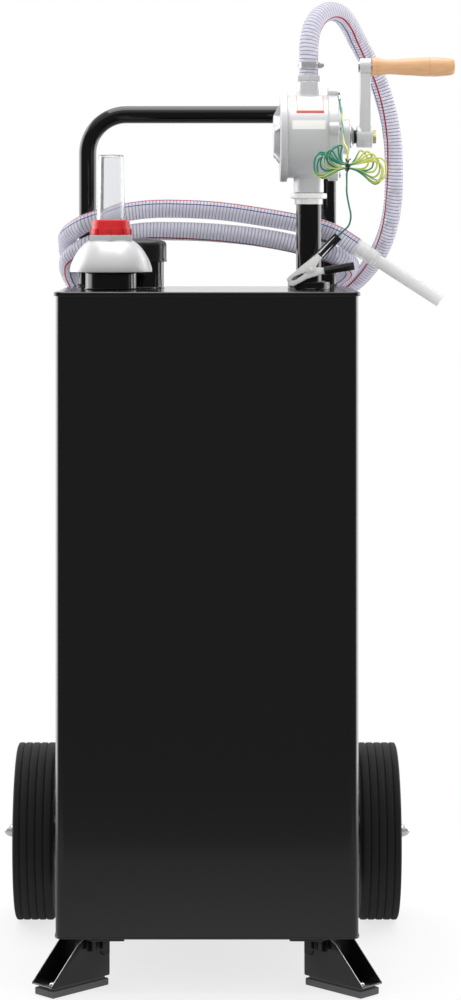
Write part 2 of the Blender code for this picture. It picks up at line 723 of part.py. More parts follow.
turned("gauge_dome", dome_profile(), SILVER_PAINT, (GAUGE_X, GAUGE_Y, 0), sides=WIDE_SIDES, shape=flats(6),
       loop=True)
VIAL_TOP_Z = VIAL_BASE_Z + VIAL_HEIGHT
turned("gauge_vial", [(VIAL_RADIUS - VIAL_WALL, VIAL_BASE_Z), (VIAL_FLANGE_RADIUS, VIAL_BASE_Z),
                      (VIAL_FLANGE_RADIUS, VIAL_BASE_Z + VIAL_FLANGE),
                      (VIAL_RADIUS, VIAL_BASE_Z + VIAL_FLANGE),
                      (VIAL_TOP_RADIUS, VIAL_TOP_Z - VIAL_EDGE), (VIAL_TOP_RADIUS - VIAL_EDGE, VIAL_TOP_Z),
                      (0, VIAL_TOP_Z), (0, VIAL_TOP_Z - VIAL_WALL),
                      (VIAL_TOP_RADIUS - VIAL_EDGE, VIAL_TOP_Z - VIAL_WALL),
                      (VIAL_TOP_RADIUS - VIAL_WALL, VIAL_TOP_Z - VIAL_EDGE)],
       CLEAR_PLASTIC, (GAUGE_X, GAUGE_Y, 0), loop=True)
NUT_SHELF_Z = VIAL_BASE_Z + VIAL_FLANGE + GAP
turned("gauge_nut", [(VIAL_FLANGE_RADIUS + GAP, VIAL_BASE_Z), (NUT_RING_RADIUS, VIAL_BASE_Z, True),
                     (NUT_RING_RADIUS, VIAL_BASE_Z + NUT_RING_HEIGHT, True),
                     (NUT_RADIUS, VIAL_BASE_Z + NUT_RING_HEIGHT), (NUT_RADIUS, VIAL_BASE_Z + NUT_HEIGHT),
                     (VIAL_RADIUS + GAP, VIAL_BASE_Z + NUT_HEIGHT), (VIAL_RADIUS + GAP, NUT_SHELF_Z),
                     (VIAL_FLANGE_RADIUS + GAP, NUT_SHELF_Z)],
       RED_PLASTIC, (GAUGE_X, GAUGE_Y, 0), sides=4 * NUT_LUGS, shape=castle(NUT_LUGS, NUT_GROOVE_SHARE),
       loop=True)

# The rod hangs beside the float's arm and rises inside the vial
ROD_FOOT_Z = FLOAT_PIVOT_Z + ARM_LENGTH * LINK_SHARE * sin(radians(ARM_REST_DEG))
ROD_TOP_Z = HEX_TOP_Z + ROD_TOP_ABOVE_HEX
turned("gauge_rod", [(0, ROD_FOOT_Z), (ROD_RADIUS, ROD_FOOT_Z), (ROD_RADIUS, ROD_TOP_Z - ROD_HEAD_HEIGHT),
                     (ROD_HEAD_RADIUS, ROD_TOP_Z - ROD_HEAD_HEIGHT), (ROD_HEAD_RADIUS, ROD_TOP_Z),
                     (0, ROD_TOP_Z)], RED_PLASTIC, (GAUGE_X, GAUGE_Y, 0), sides=SMALL_SIDES)

ARM_X = GAUGE_X + ROD_RADIUS + SIDE_CLEARANCE + ARM_HUB_WIDTH / 2
STEM_X = ARM_X + ARM_HUB_WIDTH / 2 + SIDE_CLEARANCE
STEM_CAP_Z = DOME_BASE_Z - GAP
STEM_LOW_Z = FLOAT_PIVOT_Z - STEM_TAIL
gauge_stem = slab("gauge_stem", [(FLOAT_PIVOT_Y - STEM_WIDTH / 2, STEM_LOW_Z),
                                 (FLOAT_PIVOT_Y + STEM_WIDTH / 2, STEM_LOW_Z),
                                 (FLOAT_PIVOT_Y + STEM_WIDTH / 2, FLOAT_PIVOT_Z + STEM_WIDTH),
                                 (GAUGE_Y + STEM_WIDTH / 2, FLOAT_PIVOT_Z + FLOAT_PIVOT_FORWARD + STEM_WIDTH),
                                 (GAUGE_Y + STEM_WIDTH / 2, STEM_CAP_Z - STEM_THICK / 2),
                                 (GAUGE_Y - STEM_WIDTH / 2, STEM_CAP_Z - STEM_THICK / 2),
                                 (GAUGE_Y - STEM_WIDTH / 2, FLOAT_PIVOT_Z + FLOAT_PIVOT_FORWARD + STEM_WIDTH),
                                 (FLOAT_PIVOT_Y - STEM_WIDTH / 2, FLOAT_PIVOT_Z + STEM_WIDTH)],
                  ZINC_STEEL, STEM_X, STEM_X + STEM_THICK, plane="YZ")
join(gauge_stem, turned("stem_cap", ring_profile(ROD_RADIUS + SIDE_CLEARANCE / 2, STEM_CAP_RADIUS,
                                                 STEM_CAP_Z - STEM_THICK, STEM_CAP_Z),
                        None, (GAUGE_X, GAUGE_Y, 0), loop=True))
join(gauge_stem, turned("pivot_pin", rod_profile(PIVOT_PIN_RADIUS, STEM_X + STEM_THICK / 2 - PIVOT_PIN_LENGTH,
                                                 STEM_X + STEM_THICK / 2),
                        None, (0, FLOAT_PIVOT_Y, FLOAT_PIVOT_Z), axis="X", sides=SMALL_SIDES))

float_arm = turned("float_arm", ring_profile(PIVOT_PIN_RADIUS + GAP, ARM_HUB_RADIUS, -ARM_HUB_WIDTH / 2,
                                             ARM_HUB_WIDTH / 2), ZINC_STEEL,
                   (ARM_X, FLOAT_PIVOT_Y, FLOAT_PIVOT_Z), axis="X", sides=SMALL_SIDES, loop=True)
arm_rod = turned("arm_rod", rod_profile(ARM_RADIUS, ARM_HUB_RADIUS - SIDE_CLEARANCE, ARM_LENGTH), None,
                 (ARM_X, FLOAT_PIVOT_Y, FLOAT_PIVOT_Z), sides=SMALL_SIDES - 4)
arm_rod.rotation_euler = (-radians(90 - ARM_REST_DEG), 0, 0)
join(float_arm, arm_rod)
gauge_float = turned("gauge_float", ring_profile(ARM_RADIUS + GAP, FLOAT_RADIUS, ARM_LENGTH - FLOAT_LENGTH,
                                                 ARM_LENGTH), BLACK_RUBBER,
                     (ARM_X, FLOAT_PIVOT_Y, FLOAT_PIVOT_Z), loop=True)
gauge_float.rotation_euler = arm_rod.rotation_euler

# Filler
FILLER_BORE = FILLER_NECK_RADIUS - FILLER_NECK_WALL
turned("filler_neck", ring_profile(FILLER_BORE, FILLER_NECK_RADIUS, TANK_TOP_Z + GAP, FILLER_TOP_Z),
       BLACK_GLOSS, (FILLER_X, FILLER_Y, 0), loop=True)
turned("filler_gasket", ring_profile(FILLER_BORE, FILLER_NECK_RADIUS, FILLER_TOP_Z + GAP, GASKET_TOP_Z),
       CORK, (FILLER_X, FILLER_Y, 0), loop=True)
CAP_BORE = (FILLER_NECK_RADIUS + GAP) / cos(pi / MIDDLE_SIDES)     # clears the neck as it turns
CAP_RADIUS = CAP_BORE + CAP_WALL
turned("filler_cap", [(CAP_BORE, CAP_BOTTOM_Z), (CAP_RADIUS + CAP_FLARE, CAP_BOTTOM_Z),
                      (CAP_RADIUS, CAP_BOTTOM_Z + CAP_FLARE_HEIGHT), (CAP_RADIUS, CAP_TOP_Z - CAP_EDGE),
                      (CAP_RADIUS - CAP_EDGE / 3, CAP_TOP_Z - CAP_EDGE / 3),
                      (CAP_RADIUS - CAP_EDGE, CAP_TOP_Z), (0, CAP_TOP_Z), (0, GASKET_TOP_Z + GAP),
                      (CAP_BORE, GASKET_TOP_Z + GAP)],
       BLACK_PLASTIC, (FILLER_X, FILLER_Y, 0), loop=True)

# Suction side
PIPE_FOOT_Z = TANK_BOTTOM_Z + SHEET + PIPE_FLOOR_GAP + STRAINER_DROP
turned("suction_pipe", ring_profile(PIPE_RADIUS - PIPE_WALL, PIPE_RADIUS, PIPE_FOOT_Z, PIPE_TOP_Z),
       BLACK_GLOSS, (SUCTION_X, PUMP_Y, 0), loop=True)
turned("suction_collar", [(PIPE_RADIUS + GAP, TANK_TOP_Z + GAP), (COLLAR_RADIUS, TANK_TOP_Z + GAP),
                          (COLLAR_RADIUS, TANK_TOP_Z + COLLAR_HEIGHT - COLLAR_LIP),
                          (COLLAR_RADIUS - COLLAR_LIP, TANK_TOP_Z + COLLAR_HEIGHT),
                          (PIPE_RADIUS + GAP, TANK_TOP_Z + COLLAR_HEIGHT)],
       BLACK_PAINT, (SUCTION_X, PUMP_Y, 0), loop=True)
turned("suction_union", [(PIPE_RADIUS + GAP, PIPE_TOP_Z - UNION_HEIGHT - UNION_SKIRT),
                         (UNION_SKIRT_RADIUS, PIPE_TOP_Z - UNION_HEIGHT - UNION_SKIRT, True),
                         (UNION_SKIRT_RADIUS, PIPE_TOP_Z - UNION_HEIGHT, True),
                         (UNION_RADIUS, PIPE_TOP_Z - UNION_HEIGHT), (UNION_RADIUS, PIPE_TOP_Z),
                         (PIPE_RADIUS + GAP, PIPE_TOP_Z)],
       CHROME, (SUCTION_X, PUMP_Y, 0), sides=4 * UNION_LUGS, shape=castle(UNION_LUGS, UNION_GROOVE_SHARE),
       loop=True)
strainer = turned("suction_strainer", [(0, PIPE_FOOT_Z - STRAINER_DROP),
                                       (PIPE_RADIUS + GAP + STRAINER_WALL, PIPE_FOOT_Z - STRAINER_DROP),
                                       (PIPE_RADIUS + GAP + STRAINER_WALL, PIPE_FOOT_Z + STRAINER_GRIP),
                                       (PIPE_RADIUS + GAP, PIPE_FOOT_Z + STRAINER_GRIP),
                                       (PIPE_RADIUS + GAP, PIPE_FOOT_Z - STRAINER_DROP + STRAINER_WALL),
                                       (0, PIPE_FOOT_Z - STRAINER_DROP + STRAINER_WALL)],
                  ZINC_STEEL, (SUCTION_X, PUMP_Y, 0), loop=True)
for number in range(2):
    reach = PIPE_RADIUS + STRAINER_WALL + OVERRUN
    cut(strainer, block("strainer_slot_%d" % number,
                        (-reach, -STRAINER_SLOT / 2, PIPE_FOOT_Z - STRAINER_SLOT),
                        (reach, STRAINER_SLOT / 2, PIPE_FOOT_Z - OVERRUN), None,
                        (SUCTION_X, PUMP_Y, 0), (0, 0, number * pi / 2)))

# Pump
PUMP_AXIS = (0, PUMP_Y, PUMP_Z)
pump_body = turned("pump_body", rod_profile(BODY_RADIUS, BODY_LEFT_X, BODY_RIGHT_X), CAST_ALUMINIUM,
                   PUMP_AXIS, axis="X", sides=WIDE_SIDES)
join(pump_body, turned("inlet_neck", rod_profile(INLET_RADIUS, PIPE_TOP_Z + GAP, PUMP_Z), None,
                       (SUCTION_X, PUMP_Y, 0)))
join(pump_body, turned("outlet_neck", rod_profile(OUTLET_RADIUS, PUMP_Z, OUTLET_TOP_Z), None,
                       (SUCTION_X, PUMP_Y, 0)))
cut(pump_body, turned("pump_bore", rod_profile(BORE_RADIUS, BODY_LEFT_X - OVERRUN, BODY_RIGHT_X + OVERRUN),
                      None, (0, PUMP_Y, PUMP_Z + BORE_OFFSET), axis="X", sides=WIDE_SIDES))
cut(pump_body, turned("inlet_bore", rod_profile(INLET_BORE, PIPE_TOP_Z - OVERRUN, PUMP_Z), None,
                      (SUCTION_X, PUMP_Y, 0), sides=SMALL_SIDES))
cut(pump_body, turned("outlet_bore", rod_profile(OUTLET_BORE, PUMP_Z, OUTLET_TOP_Z + OVERRUN), None,
                      (SUCTION_X, PUMP_Y, 0), sides=SMALL_SIDES))

END_LEFT_X = END_RIGHT_X - END_PLATE_THICK
end_plate = turned("pump_end_plate", [(0, END_RIGHT_X), (END_PLATE_RADIUS, END_RIGHT_X),
                                      (END_PLATE_RADIUS, END_LEFT_X), (END_HUB_RADIUS, END_LEFT_X),
                                      (END_HUB_RADIUS, END_LEFT_X - END_HUB_THICK),
                                      (0, END_LEFT_X - END_HUB_THICK)],
                   CAST_ALUMINIUM, PUMP_AXIS, axis="X", sides=WIDE_SIDES)
for number in range(END_RIBS):
    low_x = END_LEFT_X - END_HUB_THICK + GAP
    rib = [(END_RIGHT_X - END_PLATE_THICK / 2, 0), (END_RIGHT_X - END_PLATE_THICK / 2, END_RIB_REACH),
           (END_LEFT_X, END_RIB_REACH), (low_x, END_HUB_RADIUS - GAP), (low_x, 0)]
    join(end_plate, slab("end_rib_%d" % number, rib, None, -END_RIB_WIDTH / 2, END_RIB_WIDTH / 2, PUMP_AXIS,
                         "XZ", (2 * pi * number / END_RIBS, 0, 0)))

shaft_hole = SHAFT_RADIUS + PIN_CLEARANCE
pump_cover = turned("pump_cover", [(shaft_hole, COVER_LEFT_X), (COVER_RADIUS, COVER_LEFT_X),
                                   (COVER_RADIUS, LUG_RIGHT_X), (COVER_STEP_RADIUS, LUG_RIGHT_X),
                                   (COVER_STEP_RADIUS, STEP_RIGHT_X), (BOSS_RADIUS, STEP_RIGHT_X),
                                   (BOSS_RADIUS, BOSS_RIGHT_X), (shaft_hole, BOSS_RIGHT_X)],
                    CAST_ALUMINIUM, PUMP_AXIS, axis="X", sides=WIDE_SIDES, loop=True)
for number in range(LUG_COUNT):
    angle = radians(LUG_TURN_DEG) + 2 * pi * number / LUG_COUNT
    join(pump_cover, turned("cover_lug_%d" % number, rod_profile(LUG_RADIUS, COVER_LEFT_X, LUG_RIGHT_X), None,
                            (0, PUMP_Y - LUG_REACH * sin(angle), PUMP_Z + LUG_REACH * cos(angle)),
                            axis="X", sides=SMALL_SIDES))

turned("packing_gland", [(shaft_hole, GLAND_LEFT_X), (GLAND_RADIUS, GLAND_LEFT_X),
                         (GLAND_NOSE_RADIUS, GLAND_LEFT_X + GLAND_CONE),
                         (GLAND_RING_RADIUS, GLAND_LEFT_X + GLAND_CONE),
                         (GLAND_RING_RADIUS, GLAND_LEFT_X + GLAND_THICK),
                         (shaft_hole, GLAND_LEFT_X + GLAND_THICK)],
       BLACK_PLASTIC, PUMP_AXIS, axis="X", loop=True)
turned("pump_shaft", rod_profile(SHAFT_RADIUS, SHAFT_LEFT_X, SHAFT_RIGHT_X), ZINC_STEEL, PUMP_AXIS,
       axis="X")
ROTOR_LEFT_X = BODY_LEFT_X + ROTOR_PLAY
ROTOR_RIGHT_X = BODY_RIGHT_X - ROTOR_PLAY
rotor = turned("pump_rotor", ring_profile(shaft_hole, ROTOR_RADIUS, ROTOR_LEFT_X, ROTOR_RIGHT_X), ZINC_STEEL,
               PUMP_AXIS, axis="X", sides=WIDE_SIDES, loop=True)
for number in range(VANE_COUNT):
    turn = (2 * pi * (number + 1 / 2) / VANE_COUNT, 0, 0)
    outer = ROTOR_RADIUS - VANE_SINK
    cut(rotor, block("vane_slot_%d" % number,
                     (ROTOR_LEFT_X - OVERRUN, -VANE_THICK / 2 - GAP, outer - VANE_HEIGHT - GAP),
                     (ROTOR_RIGHT_X + OVERRUN, VANE_THICK / 2 + GAP, ROTOR_RADIUS + OVERRUN),
                     None, PUMP_AXIS, turn))
    block("vane_%d" % (number + 1), (ROTOR_LEFT_X, -VANE_THICK / 2, outer - VANE_HEIGHT),
          (ROTOR_RIGHT_X, VANE_THICK / 2, outer), BLACK_PLASTIC, PUMP_AXIS, turn)

# Hose tail and clamp
TAIL_BASE_Z = OUTLET_TOP_Z + GAP
TAIL_HEX_TOP_Z = TAIL_BASE_Z + TAIL_HEX_HEIGHT
turned("hose_tail", [(BARB_BORE, TAIL_BASE_Z), (TAIL_HEX_ACROSS / 2, TAIL_BASE_Z, True),
                     (TAIL_HEX_ACROSS / 2, TAIL_HEX_TOP_Z, True), (BARB_RADIUS, TAIL_HEX_TOP_Z),
                     (BARB_RADIUS, TAIL_HEX_TOP_Z + BARB_LENGTH), (BARB_BORE, TAIL_HEX_TOP_Z + BARB_LENGTH)],
       BRASS, (SUCTION_X, PUMP_Y, 0), sides=SMALL_SIDES + 6, shape=flats(6), loop=True)
CLAMP_LOW_Z = TAIL_HEX_TOP_Z + CLAMP_RISE
clamp_inner = HOSE_RADIUS + GAP
hose_clamp = turned("hose_clamp", ring_profile(clamp_inner, clamp_inner + CLAMP_THICK, CLAMP_LOW_Z,
                                               CLAMP_LOW_Z + CLAMP_WIDTH),
                    ZINC_STEEL, (SUCTION_X, PUMP_Y, 0), loop=True)
join(hose_clamp, block("clamp_screw", (clamp_inner + CLAMP_THICK / 3, -CLAMP_SCREW_LENGTH / 2, CLAMP_LOW_Z),
                       (clamp_inner + CLAMP_SCREW_HEIGHT, CLAMP_SCREW_LENGTH / 2, CLAMP_LOW_Z + CLAMP_WIDTH),
                       None, (SUCTION_X, PUMP_Y, 0)))


# Crank
def crank_outline():
    """The arm seen along the shaft: a round eye at the shaft, straight tapering sides and a round boss."""
    points = []
    for centre, radius, begin in ((0, CRANK_EYE_RADIUS, pi), (CRANK_THROW, CRANK_BOSS_RADIUS, 0)):
        for step in range(ARM_END_STEPS + 1):
            angle = begin + pi * step / ARM_END_STEPS
            points.append((radius * cos(angle), centre + radius * sin(angle)))
    side = [(CRANK_ARM_WIDTH / 2, CRANK_EYE_RADIUS),
            (CRANK_ARM_TIP_WIDTH / 2, CRANK_THROW - CRANK_BOSS_RADIUS)]
    half = len(points) // 2
    return points[:half] + side + points[half:] + [(-y, z) for y, z in reversed(side)]


crank_arm = slab("crank_arm", crank_outline(), CAST_ALUMINIUM, ARM_LEFT_X, ARM_RIGHT_X, PUMP_AXIS, "YZ")
join(crank_arm, turned("crank_hub", rod_profile(CRANK_HUB_RADIUS, CRANK_HUB_LEFT_X, CRANK_HUB_RIGHT_X), None,
                       PUMP_AXIS, axis="X"))
cut(crank_arm, turned("crank_bore", rod_profile(SHAFT_RADIUS + GAP, CRANK_HUB_LEFT_X - OVERRUN,
                                                CRANK_HUB_RIGHT_X + OVERRUN), None, PUMP_AXIS, axis="X"))
cut(crank_arm, turned("pin_bore", rod_profile(GRIP_PIN_RADIUS + GAP, ARM_LEFT_X - OVERRUN,
                                              ARM_RIGHT_X + OVERRUN),
                      None, (0, PUMP_Y, CRANK_PIN_Z), axis="X", sides=SMALL_SIDES))
turned("crank_nut", [(SHAFT_RADIUS + GAP, CRANK_HUB_RIGHT_X + GAP),
                     (CRANK_NUT_ACROSS / 2, CRANK_HUB_RIGHT_X + GAP, True),
                     (CRANK_NUT_ACROSS / 2, CRANK_HUB_RIGHT_X + GAP + CRANK_NUT_THICK, True),
                     (SHAFT_RADIUS + GAP, CRANK_HUB_RIGHT_X + GAP + CRANK_NUT_THICK)],
       BRASS, PUMP_AXIS, axis="X", sides=SMALL_SIDES + 6, shape=flats(6), loop=True)
PIN_HEAD_X = ARM_LEFT_X - GAP
turned("grip_pin", [(0, PIN_HEAD_X - GRIP_PIN_HEAD), (GRIP_PIN_HEAD_RADIUS, PIN_HEAD_X - GRIP_PIN_HEAD),
                    (GRIP_PIN_HEAD_RADIUS, PIN_HEAD_X), (GRIP_PIN_RADIUS, PIN_HEAD_X),
                    (GRIP_PIN_RADIUS, ARM_LEFT_X + GRIP_PIN_LENGTH), (0, ARM_LEFT_X + GRIP_PIN_LENGTH)],
       ZINC_STEEL, (0, PUMP_Y, CRANK_PIN_Z), axis="X", sides=SMALL_SIDES)


def grip_profile():
    grip_bore = GRIP_PIN_RADIUS + PIN_CLEARANCE
    bore_end = ARM_LEFT_X + GRIP_PIN_LENGTH + SIDE_CLEARANCE
    outer = [(radius, GRIP_LEFT_X + share * GRIP_LENGTH) for share, radius in zip(GRIP_SHARES, GRIP_RADII)]
    return [(grip_bore, GRIP_LEFT_X)] + outer + [(0, GRIP_RIGHT_X), (0, bore_end), (grip_bore, bore_end)]


turned("crank_grip", grip_profile(), BEECH, (0, PUMP_Y, CRANK_PIN_Z), axis="X", sides=SMALL_SIDES + 2,
       loop=True)


# Wheels, mirrored about the tank's middle
def tyre_profile():
    """From the inner bead, out over the tread with its grooves, to the outer bead."""
    profile = [(RIM_RADIUS + GAP, WHEEL_INNER_X), (WHEEL_RADIUS - SHOULDER, WHEEL_INNER_X)]
    left = WHEEL_INNER_X + SHOULDER / 2
    right = WHEEL_OUTER_X - SHOULDER
    profile.append((WHEEL_RADIUS - GROOVE_DEPTH, left - SHOULDER / 4))
    for rib in range(TREAD_RIBS):
        width = (right - left) / TREAD_RIBS
        start = left + rib * width
        profile += [(WHEEL_RADIUS, start), (WHEEL_RADIUS, start + width - GROOVE_WIDTH)]
        if rib < TREAD_RIBS - 1:
            profile.append((WHEEL_RADIUS - GROOVE_DEPTH, start + width - GROOVE_WIDTH / 2))
    profile += [(WHEEL_RADIUS - SHOULDER_DROP, WHEEL_OUTER_X - SHOULDER / 2),
                (WHEEL_RADIUS - 2 * SHOULDER, WHEEL_OUTER_X), (RIM_RADIUS + GAP, WHEEL_OUTER_X)]
    return [(radius / cos(pi / TYRE_SIDES), height) for radius, height in profile]


def hub_profile():
    disc = WHEEL_OUTER_X - RIM_INSET - DISC_THICK
    bore = AXLE_RADIUS + PIN_CLEARANCE
    inner = RIM_RADIUS - RIM_WALL
    return [(bore, WHEEL_INNER_X - HUB_PROUD), (HUB_RADIUS, WHEEL_INNER_X - HUB_PROUD), (HUB_RADIUS, disc),
            (inner, disc), (inner, WHEEL_INNER_X), (RIM_RADIUS, WHEEL_INNER_X), (RIM_RADIUS, WHEEL_OUTER_X),
            (inner, WHEEL_OUTER_X), (inner, disc + DISC_THICK), (HUB_RADIUS, disc + DISC_THICK),
            (HUB_RADIUS, WHEEL_OUTER_X + HUB_PROUD), (bore, WHEEL_OUTER_X + HUB_PROUD)]


def axle_cap_profile():
    base = AXLE_CAP_X
    inner = AXLE_RADIUS + PIN_CLEARANCE
    profile = [(inner, base), (AXLE_CAP_RADIUS, base)]
    straight = AXLE_CAP_RISE / 3
    for step in range(AXLE_CAP_STEPS):
        angle = pi / 2 * step / AXLE_CAP_STEPS
        profile.append((AXLE_CAP_RADIUS * cos(angle),
                        base + straight + (AXLE_CAP_RISE - straight) * sin(angle)))
    return profile + [(0, base + AXLE_CAP_RISE), (0, base + AXLE_IN_CAP + SIDE_CLEARANCE),
                      (inner, base + AXLE_IN_CAP + SIDE_CLEARANCE)]


AXLE_LINE = (0, AXLE_Y, WHEEL_RADIUS)
for side, axis in (("left", "-X"), ("right", "X")):
    turned("tyre_" + side, tyre_profile(), BLACK_RUBBER, AXLE_LINE, axis, TYRE_SIDES,
           start=pi / TYRE_SIDES, loop=True)
    turned("hub_" + side, hub_profile(), RIM_STEEL, AXLE_LINE, axis, loop=True)
    turned("axle_cap_" + side, axle_cap_profile(), CHROME, AXLE_LINE, axis, SMALL_SIDES, loop=True)
AXLE_END_X = AXLE_CAP_X + AXLE_IN_CAP
turned("axle", rod_profile(AXLE_RADIUS, -AXLE_END_X, AXLE_END_X), ZINC_STEEL, AXLE_LINE, axis="X",
       sides=SMALL_SIDES)

# Axle brackets on the tank's back wall, each with a spacer tube that runs to its wheel
for side, sign, axis in (("left", -1, "-X"), ("right", 1, "X")):
    low_x, high_x = sorted((sign * (BRACKET_X - BRACKET_WIDTH / 2), sign * (BRACKET_X + BRACKET_WIDTH / 2)))
    base = block("axle_bracket_" + side, (low_x, TANK_DEPTH + GAP, WHEEL_RADIUS - BRACKET_LOW),
                 (high_x, TANK_DEPTH + GAP + BRACKET_PLATE, WHEEL_RADIUS + BRACKET_RISE), BLACK_PAINT)
    join(base, turned("bracket_tube_" + side,
                      rod_profile(SPACER_RADIUS, BRACKET_X - BRACKET_WIDTH / 2 - OVERRUN,
                                  WHEEL_INNER_X - HUB_PROUD - GAP), None, AXLE_LINE, axis, SMALL_SIDES))
    cut(base, turned("bracket_bore_" + side,
                     rod_profile(AXLE_RADIUS + GAP, BRACKET_X - BRACKET_WIDTH, WHEEL_INNER_X + OVERRUN), None,
                     AXLE_LINE, axis, SMALL_SIDES))


# Front feet
def foot(side, sign):
    """A hat-shaped channel that runs from under the tank to past its corner, and its pad."""
    corner = (sign * HALF_WIDTH, 0, 0)
    turn = (0, 0, radians(90 + sign * FOOT_TURN_DEG))
    floor_z = PAD_THICK + PAD_STEP + GAP
    top_z = TANK_BOTTOM_Z - GAP
    wide = FOOT_HALF_WIDTH + FOOT_FLANGE
    inside = FOOT_HALF_WIDTH - FOOT_SHEET
    hat = [(-wide, top_z), (-wide, top_z - FOOT_SHEET), (-FOOT_HALF_WIDTH, top_z - FOOT_SHEET),
           (-FOOT_HALF_WIDTH, floor_z), (FOOT_HALF_WIDTH, floor_z), (FOOT_HALF_WIDTH, top_z - FOOT_SHEET),
           (wide, top_z - FOOT_SHEET), (wide, top_z), (inside, top_z), (inside, floor_z + FOOT_SHEET),
           (-inside, floor_z + FOOT_SHEET), (-inside, top_z)]
    channel = slab("foot_" + side, hat, BLACK_PAINT, -FOOT_OUT, FOOT_IN, corner, "YZ", turn)
    slope = [(-FOOT_OUT - 2 * OVERRUN, floor_z + FOOT_SHEET), (-FOOT_OUT, floor_z + FOOT_SHEET),
             (FOOT_SLANT_TOP, FOOT_SLANT_Z), (FOOT_SLANT_TOP, top_z + OVERRUN),
             (-FOOT_OUT - 2 * OVERRUN, top_z + OVERRUN)]
    cut(channel, slab("foot_slant_" + side, slope, None, -wide - OVERRUN, wide + OVERRUN, corner, "XZ", turn))
    for edge, way in (("a", 1), ("b", -1)):
        corner_cut = [(inside + FLANGE_SETBACK, way * inside),
                      (wide + OVERRUN + FLANGE_SETBACK, way * (wide + OVERRUN)),
                      (FOOT_SLANT_TOP - OVERRUN, way * (wide + OVERRUN))]
        cut(channel, slab("flange_corner_%s_%s" % (side, edge), corner_cut, None,
                          top_z - FOOT_SHEET - OVERRUN, top_z + OVERRUN, corner, "XY", turn))
    body = bmesh.new()
    inset = PAD_STEP_INSET
    levels = [(0, 0), (0, PAD_THICK), (inset, PAD_THICK), (inset, PAD_THICK + PAD_STEP)]
    rings = []
    for shrink, height in levels:
        low_x, high_x, half = -PAD_OUT + shrink, FOOT_IN - shrink, PAD_HALF_WIDTH - shrink
        rings.append([body.verts.new((x, y, height)) for x, y in
                      ((low_x, -half), (high_x, -half), (high_x, half), (low_x, half))])
    for low, high in zip(rings, rings[1:]):
        for number in range(4):
            after = (number + 1) % 4
            body.faces.new((low[number], low[after], high[after], high[number]))
    body.faces.new(list(reversed(rings[0])))
    body.faces.new(rings[-1])
    place("foot_pad_" + side, mesh_from("foot_pad_" + side, body), BLACK_RUBBER, corner, turn)


foot("left", -1)
foot("right", 1)

# Discharge hose: up out of the pump, down behind the tank and twice round the handle's legs
HOSE_ROUTE = [
    (0.1410, 0.2000, 1.2186), (0.1410, 0.2000, 1.2330), (0.1410, 0.2000, 1.2460),
    (0.1422, 0.2040, 1.2680), (0.1465, 0.2115, 1.2864), (0.1570, 0.2265, 1.3030),
    (0.1720, 0.2450, 1.3115), (0.1870, 0.2650, 1.3095), (0.1995, 0.2855, 1.2985),
    (0.2117, 0.3080, 1.2796), (0.2290, 0.3270, 1.2499), (0.2452, 0.3400, 1.2192),
    (0.2573, 0.3465, 1.1854), (0.2665, 0.3510, 1.1413), (0.2697, 0.3550, 1.0906),
    (0.2690, 0.3625, 1.0500), (0.2630, 0.3770, 1.0080), (0.2500, 0.4000, 0.9720),
    (0.2320, 0.4260, 0.9440), (0.2050, 0.4500, 0.9180), (0.1700, 0.4610, 0.8960),
    (0.0950, 0.4620, 0.8640), (0.0000, 0.4550, 0.8500), (-0.0900, 0.4460, 0.8640),
    (-0.1500, 0.4400, 0.8860), (-0.1840, 0.4270, 0.9140), (-0.1990, 0.4020, 0.9400),
    (-0.2010, 0.3740, 0.9540), (-0.1965, 0.3480, 0.9660), (-0.1760, 0.3310, 0.9800),
    (-0.1389, 0.3260, 0.9930), (-0.0985, 0.3250, 1.0015), (-0.0386, 0.3250, 1.0030),
    (0.0220, 0.3250, 1.0000), (0.0759, 0.3250, 0.9940), (0.1331, 0.3260, 0.9830),
    (0.1691, 0.3300, 0.9730), (0.1960, 0.3460, 0.9640), (0.2070, 0.3720, 0.9550),
    (0.2040, 0.4000, 0.9460), (0.1850, 0.4210, 0.9330), (0.1500, 0.4300, 0.9170),
    (0.0800, 0.4310, 0.8990), (0.0000, 0.4330, 0.8930), (-0.0800, 0.4390, 0.9020),
    (-0.1400, 0.4450, 0.9220), (-0.1830, 0.4370, 0.9460), (-0.2010, 0.4120, 0.9680),
    (-0.2020, 0.3820, 0.9840), (-0.1990, 0.3530, 0.9980), (-0.1790, 0.3330, 1.0120),
    (-0.1400, 0.3260, 1.0250), (-0.0900, 0.3240, 1.0340), (-0.0300, 0.3240, 1.0350),
    (0.0186, 0.3240, 1.0321), (0.0759, 0.3230, 1.0242), (0.1331, 0.3220, 1.0140),
    (0.1675, 0.3218, 1.0055), (0.1907, 0.3214, 0.9956), (0.2020, 0.3197, 0.9882),
    (0.2132, 0.3180, 0.9809)]
hose_line = smooth_route(HOSE_ROUTE, HOSE_RADIUS / 4)
hose_points = even_points(hose_line, 2 * HOSE_RIBS + 1)
rib_radii = [HOSE_RADIUS if number % 2 else HOSE_VALLEY_RADIUS for number in range(len(hose_points))]
discharge_hose = cord("discharge_hose", hose_points, rib_radii, CLEAR_HOSE)
bore_points = even_points(hose_line, HOSE_BORE_POINTS)
bore_points[:1] = [bore_points[0] + Vector((0, 0, rise)) for rise in (-OVERRUN, BARB_LENGTH)]
NOZZLE_RUN = (hose_points[-1] - hose_points[-2]).normalized()
bore_points.append(bore_points[-1] + NOZZLE_RUN * OVERRUN)
cut(discharge_hose, cord("hose_bore", bore_points, HOSE_BORE_RADIUS, None))
print("hose length %.3f, least gap to itself %.4f" % (route_length(hose_points),
                                                     self_gap(hose_points, HOSE_RADIUS, 0.1)))

